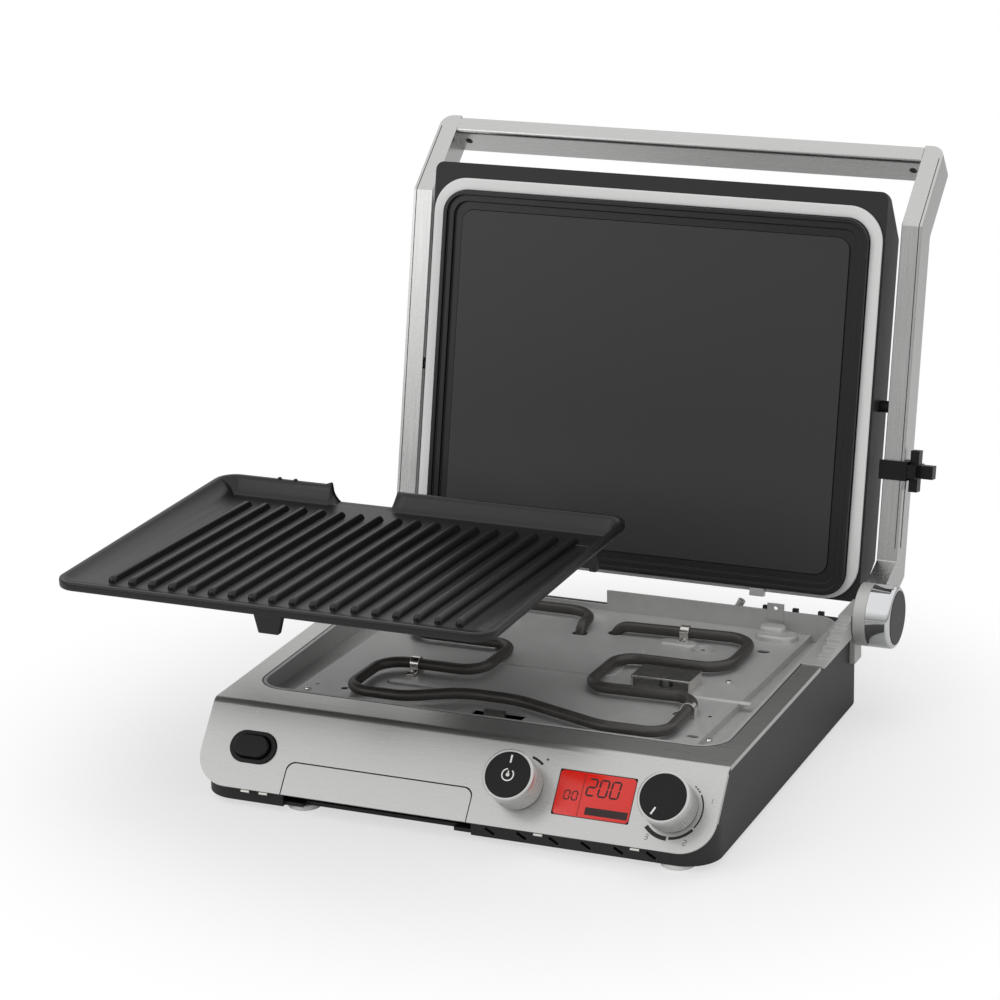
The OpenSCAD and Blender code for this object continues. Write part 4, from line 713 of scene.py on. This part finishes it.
class GRILL_OT_display(bpy.types.Operator):
    """Back-lit display with its numbers"""
    bl_idname = "grill.display"
    bl_label = "Display"

    def execute(self, context):
        sizes = context.scene.grill_sizes
        place = FASCIA @ Matrix.Translation((68, -43.5, -0.5))
        bm = bmesh.new()
        stack(bm, [[(p.x, p.y, z) for p in rounded(w, w - 21, r, 8, 25, 14.5)]
                   for w, r, z in ((50, 3, -1.6), (50, 3, 0.15), (49.7, 2.9, 0.3))])
        settle(to_mesh("display_frame", bm, place), "black_print_and_painted_shade", "display_window", True)
        bm = bmesh.new()
        stack(bm, [[(p.x, p.y, z) for p in rounded(w, w - 21, r, 8, 25, 14.5)]
                   for w, r, z in ((49, 2.5, 0.1), (49, 2.5, 0.34), (48.7, 2.4, 0.4))])
        settle(to_mesh("display_lens", bm, place), "backlit_display", "display_window")
        bm = bmesh.new()
        for i, mark in enumerate(sizes.temperature[:3]):
            digit(bm, mark, 19.2 + 7.6 * i, 14.6, 5.2, 10.4, 1.15, 0.41, 0.45)
        for i, mark in enumerate(sizes.minutes[:2]):
            digit(bm, mark, 5.6 + 5.0 * i, 10.4, 3.2, 5.6, 0.8, 0.41, 0.45)
        prism(bm, [(21, 2.4), (48.4, 2.4), (48.4, 7.2), (21, 7.2)], 0.41, 0.45)
        prism(bm, [(16.4, 1), (16.75, 1), (16.75, 28), (16.4, 28)], 0.41, 0.45)
        settle(to_mesh("display_figures", bm, place), "display_bar_dark", "display_window")
        return {"FINISHED"}


class GRILL_OT_pan(bpy.types.Operator):
    """Heater pan with its rods, clips, rivets and sensor cover"""
    bl_idname = "grill.pan"
    bl_label = "Heater pan"

    def execute(self, context):
        sizes = context.scene.grill_sizes
        dressed("heater_pan", "coated_steel_sheet", 0.7, 3)
        corners = [[22, 227], [111, 233], [112, 167], [39, 166], [39, 104], [115, 107], [118, 38], [76, 37], [10, 62],
                   [-28, 62], [-60, 42], [-101, 42], [-101, 104], [-34, 104], [-34, 163], [-113, 163], [-113, 248],
                   [-9, 248], [-9, 226]]
        bends = [0, 19, 18, 15, 15, 16, 14, 40, 60, 40, 30, 16, 18, 16, 14, 18, 20, 18, 0]
        place = SLOPE @ Matrix.Translation((0, -PAN_FRONT, 0))
        rod_along("heating_rod", rod_path(corners, bends, 5.4, 7), sizes.rod_radius, place,
                  "oxidised_alloy_sheath", "lower_element", True, 24)
        dressed("element_clips", "bright_spring_steel", 0.25)
        dressed("sensor_cover", "bright_spring_steel", 0.35)
        bm = turned(bmesh.new(), [(0.01, -0.6), (2.0, -0.6), (2.2, 0.2), (1.9, 0.9), (1.2, 1.25), (0.01, 1.35)], 20)
        at_points("pan_rivets", bm, [(67, 157.6, 0), (117, 158.6, 0), (142, 50.6, 0), (-130, 46.6, 0), (62, 223, 1),
                                     (108, 95, 1)], place, "bright_spring_steel", "heater_pan")
        # Screws in the feet of the rod's clips, and in the pan's corners black discs as painted shade of small
        # pinholes
        screws = []
        for i, part in ((0, 0.45), (5, 0.3), (12, 0.33), (16, 0.45)):
            first, last = Vector(corners[i]), Vector(corners[i + 1])
            along = (last - first).normalized()
            spot = first + part * (last - first) - Vector((-along.y, along.x)) * 7.6
            screws.append((spot.x, spot.y, 0.9, math.degrees(math.atan2(along.y, along.x))))
        bm = turned(bmesh.new(), [(0.01, 0), (1.9, 0), (2.0, 0.7), (1.5, 1.1), (0.01, 1.2)], 20)
        at_points("clip_screws", bm, screws, place, "zinc_plated_steel", "element_clips")
        # Painted shade: thin black discs stand for the dark inside of the pinholes
        bm = turned(bmesh.new(), [(0.01, 0.01), (1.3, 0.01), (1.25, 0.06), (0.01, 0.07)], 20)
        at_points("pan_pinholes", bm, [(80, 214, 0), (-128, 57, 0), (128, 92, 0), (-60, 240, 0)],
                  place, "black_print_and_painted_shade", "heater_pan")
        bm = hoop(bmesh.new(), [(4.6, -0.4), (6.6, -0.4), (6.3, 0.9), (5.6, 1.35), (4.9, 0.9)])
        bm = hoop(bm, [(6.9, -0.4), (8.3, -0.4), (8.1, 0.5), (7.5, 0.75), (7.1, 0.5)])
        settle(to_mesh("pan_ring_emboss", bm, place @ Matrix.Translation((80, 214, 0))), "coated_steel_sheet",
               "heater_pan")
        # Raised shapes drawn into the sheet: long pads, one beside the top clip, and a lug with a dome
        bm = bmesh.new()
        for x, y, w, d, h in ((60, 221.5, 25, 12, 1.5), (-66, 80, 44, 10, 1.2), (120, 124.5, 48, 4, 1.0),
                              (118, 255, 29, 17, 4.2), (113.5, 260, 19, 12, 7.5)):
            r = min(w, d) / 2
            stack(bm, [[(p.x, p.y, z) for p in rounded(w + grow, d + grow, r + grow / 2 - 0.01, 8, x, y)]
                       for grow, z in ((1.6, -0.4), (1.2, 0.02), (0.2, h * 0.5), (-1.4, h * 0.92), (-3, h))])
        settle(to_mesh("pan_pads", bm, place), "coated_steel_sheet", "heater_pan", smooth=60)
        return {"FINISHED"}


class GRILL_OT_ribbed_plate(bpy.types.Operator):
    """Ribbed grill plate, held above the pan"""
    bl_idname = "grill.ribbed_plate"
    bl_label = "Ribbed plate"

    def execute(self, context):
        sizes = context.scene.grill_sizes
        half_w, half_d, floor_at, fall = 147.5, 117.0, 2.8, 9 / 216

        def floor_depth(y):
            return floor_at + fall * (y + half_d - 8.5)

        def notch(x, y):
            """How far the rear wall is cut away: 0 is not, 1 is down to the floor."""
            if y < 60 or x < -65.5 or x > -17:
                return 0.0
            left = max(0.0, min(1.0, (x + 65.5) / 5.5)) ** 0.45
            return min(left, max(0.0, min(1.0, (-17 - x) / 4.5)))

        def outline(inset):
            """Points round the plate at an inset, and the steepness of the food side's wall at each."""
            r = max(2.0, 14 - inset)
            x, y = half_w - inset - r, half_d - inset - r
            cuts = [-17 - 0.9 * i for i in range(6)] + [-26, -34, -42, -50, -57] + [-59.9 - 0.7 * i for i in range(10)]
            rear = [(c, half_d - inset, 1.97) for c in [110, 60, 10, -10] + cuts + [-70, -100] if abs(c) < x]
            points = []
            for sx, sy, start in ((1, 1, 0), (-1, 1, 90), (-1, -1, 180), (1, -1, 270)):
                for p in arc(sx * x, sy * y, r, start, start + 90, 10):
                    n = Vector((p.x - sx * x, p.y - sy * y)) / r
                    points.append((p.x, p.y, n.x ** 2 * 1.0 + n.y ** 2 * (1.97 if n.y > 0 else 0.56)))
                if sx == 1 and sy == 1:
                    points += rear
            return points

        bm = bmesh.new()
        rings = []
        under = [24, 18, 15, 12, 10, 8, 6.5, 5, 4]
        for inset in under:
            ring = []
            for x, y, steep in outline(inset):
                depth = soft_min(max(0, inset - 3.5) * steep, floor_depth(y), 4.0) + 3.4
                cut = notch(x, y)
                depth = max(depth, 5.4) if inset > 4 else 5.4
                ring.append((x, y, -(depth * (1 - cut) + cut * (floor_depth(y) + 3.2))))
            rings.append(ring)
        for inset, z in ((3.2, -5.7), (0.9, -5.7), (0.25, -5.2), (0, -4.4), (0, -1.1), (0.3, -0.35), (1.0, 0),
                         (2.4, 0), (3.1, -0.12), (3.7, -0.6)):
            ring = []
            for x, y, _ in outline(inset):
                cut = notch(x, y)
                horn = 1.7 * max(0.0, 1 - abs(x + 66.5) / 2.6) if y > 60 else 0.0
                low = floor_depth(half_d - 8) + (3.2 if z < -2 else 0)
                ring.append((x, y, (z + (horn if z > -2 else 0)) * (1 - cut) - cut * low))
            rings.append(ring)
        for inset in [4.5, 5.5, 6.5, 7.5, 8.5, 9.5, 10.5, 11.5, 12.5, 13.5, 14.5, 15.5, 16.5, 17.5, 18.5, 20, 24]:
            ring = []
            for x, y, steep in outline(inset):
                depth = soft_min((inset - 3.5) * steep + 0.4, floor_depth(y), 3.2)
                cut = notch(x, y) if inset < 15 else 0.0
                ring.append((x, y, -(depth * (1 - cut) + cut * floor_depth(y))))
            rings.append(ring)
        stack(bm, rings)
        settle(to_mesh("ribbed_dish", bm, PLATE), "nonstick_cast_aluminium", "ribbed_plate", True, smooth=70)

        # One rib, rounded over its top and at its ends, repeated across the floor
        half = sizes.rib_width / 2
        section = [(-half - 0.5, -1.0), (-half - 0.25, 0.15), (-half + 0.1, 0.9), (-half + 0.5, 2.6), (-half + 1.1, 3.5),
                   (-0.8, 3.9), (0.8, 3.9), (half - 1.1, 3.5), (half - 0.5, 2.6), (half - 0.1, 0.9), (half + 0.25, 0.15),
                   (half + 0.5, -1.0)]
        ends = [(-99.6, 0.3, 0.5), (-99.2, 0.62, 0.75), (-98.3, 0.86, 0.92), (-96.8, 0.97, 1), (-94.5, 1, 1),
                (83.5, 1, 1), (85.6, 0.94, 1), (87.2, 0.72, 0.94), (88.4, 0.25, 0.8)]
        bm = stack(bmesh.new(), [[(x * wide, y, -floor_depth(y) + (z * tall if z > 0 else z)) for x, z in section]
                                 for y, tall, wide in ends])
        piece = prototype(bm)
        ribs = grown("ribs", rule("Pieces in a row", row_tree),
                     {"Piece": piece, "Count": sizes.ribs, "Pitch": sizes.rib_pitch,
                      "Material": finish_of("nonstick_cast_aluminium")}, bpy.data.meshes.new("rib_row"),
                     PLATE @ Matrix.Translation((2.8, 0, 0)))
        bpy.data.objects.remove(piece)
        settle(ribs, "nonstick_cast_aluminium", "ribbed_plate", smooth=40)

        # Front tongue, lug under the rear right corner with its small hook, and two nubs on the rear rim
        bm = prism(bmesh.new(), [(-6.7, -17), (6.7, -17), (9.7, -5), (-9.7, -5)], 0, 5)
        bm.transform(Matrix.Translation((1.9, -112, 0)) @ Matrix.Rotation(math.pi / 2, 4, "X"))
        prism(bm, [(118, 80), (136, 80), (136, 84), (118, 84)], -25, -10)
        prism(bm, [(133, 78), (138, 78), (138, 84), (133, 84)], -26.5, -10)
        settle(to_mesh("plate_lugs", bm, PLATE), "nonstick_cast_aluminium", "ribbed_plate", soften=0.7, steps=2)
        bm = turned(bmesh.new(), [(0.01, -2), (1.5, -2), (1.5, 0.4), (1.1, 1.1), (0.01, 1.4)], 16)
        at_points("rim_nubs", bm, [(-104.5, 115.2, 0), (-92.7, 115.2, 0)], PLATE, "nonstick_cast_aluminium",
                  "ribbed_plate")
        return {"FINISHED"}


class GRILL_OT_hinges(bpy.types.Operator):
    """Stepped brackets, barrels, bright caps and end discs"""
    bl_idname = "grill.hinges"
    bl_label = "Hinges"

    def execute(self, context):
        for side in ("left", "right"):
            dressed("hinge_bracket_" + side, "blasted_zinc_casting", 0.5)
        dressed("hinge_barrels", "blasted_zinc_casting", 0.5)
        dressed("hinge_caps", "polished_chrome", 0.3)
        dressed("hinge_discs", "moulded_abs_black", 0.3)
        return {"FINISHED"}


class GRILL_OT_arms(bpy.types.Operator):
    """Arms, handle bar, screws and the height stop"""
    bl_idname = "grill.arms"
    bl_label = "Arms and handle"

    def execute(self, context):
        edge = context.scene.grill_sizes.edge
        dressed("arm_left", "brushed_aluminium", edge * 1.4, 3)
        dressed("arm_right", "brushed_aluminium", edge * 1.4, 3)
        dressed("handle_bar", "brushed_aluminium_bar", 0.3)
        # Painted shade: thin black rods along the outer front edges of the arms, where the folded sheet closes, stand
        # for the shade in the seam
        tip = (269 + 69.2 * math.cos(ARM_KINK), -13 - 69.2 * math.sin(ARM_KINK))
        for side, node in ((-1, "arm_left"), (1, "arm_right")):
            x = side * (170.9 + 14.2 - 2.1)
            rod_along(node + "_seam", [(x, 52, -13), (x, 269, -13), (x, tip[0] - 8, tip[1] + 6.7)], 0.28, LID,
                      "black_print_and_painted_shade", node, sides=8)
        dressed("handle_screws", "oxidised_alloy_sheath", 0.15)
        dressed("pivot_pins", "moulded_abs_black", 0.4)
        dressed("height_slider", "moulded_abs_black", 0.5)
        dressed("height_knob", "moulded_abs_black", 0.9, 3)
        return {"FINISHED"}


class GRILL_OT_lid(bpy.types.Operator):
    """Lid housing, cover, ring and the smooth upper plate"""
    bl_idname = "grill.lid"
    bl_label = "Lid"

    def execute(self, context):
        dressed("lid_housing", "moulded_pbt_black", 1.0, 3)
        dressed("lid_cover", "brushed_stainless_steel", 0.4)
        dressed("lid_ring", "satin_silver_paint", 0.8, 3)
        dressed("upper_plate", "nonstick_cast_aluminium", 1.0, 3)
        # The upper plate's flat field, its lighter grey a painted sheen
        bm = prism(bmesh.new(), rounded(281, 227, 8.6, 10, 0, 144.35), 1.4, 1.56)
        settle(to_mesh("upper_field", bm, LID), "nonstick_field_painted_sheen", "upper_plate")
        dressed("lid_screws", "zinc_plated_steel", 0.2)
        dressed("release_tab", "silver_painted_abs", 1.0, 3)
        return {"FINISHED"}


class GRILL_PT_panel(bpy.types.Panel):
    """The grill's pieces and sizes"""
    bl_idname = "GRILL_PT_panel"
    bl_label = "Grill"
    bl_space_type = "VIEW_3D"
    bl_region_type = "UI"
    bl_category = "Grill"

    def draw(self, context):
        for name in STEPS:
            self.layout.operator("grill." + name)
        for group in (context.scene.grill_sizes, context.scene.grill_colours, context.scene.grill_stage):
            for key in group.bl_rna.properties.keys():
                if key not in ("rna_type", "name"):
                    self.layout.prop(group, key)


STEPS = ("stage", "finishes", "base", "steel_top", "controls", "display", "pan", "ribbed_plate", "hinges", "arms",
         "lid")
CLASSES = (GrillSizes, GrillColours, GrillStage, GRILL_OT_stage, GRILL_OT_finishes, GRILL_OT_base,
           GRILL_OT_steel_top, GRILL_OT_controls, GRILL_OT_display, GRILL_OT_pan, GRILL_OT_ribbed_plate,
           GRILL_OT_hinges, GRILL_OT_arms, GRILL_OT_lid, GRILL_PT_panel)


def register():
    for cls in CLASSES:
        bpy.utils.register_class(cls)
    bpy.types.Scene.grill_sizes = PointerProperty(type=GrillSizes)
    bpy.types.Scene.grill_colours = PointerProperty(type=GrillColours)
    bpy.types.Scene.grill_stage = PointerProperty(type=GrillStage)


def unregister():
    del bpy.types.Scene.grill_sizes
    del bpy.types.Scene.grill_colours
    del bpy.types.Scene.grill_stage
    for cls in reversed(CLASSES):
        bpy.utils.unregister_class(cls)


def main():
    register()
    for name in STEPS:
        getattr(bpy.ops.grill, name)()


if __name__ == "__main__":
    main()
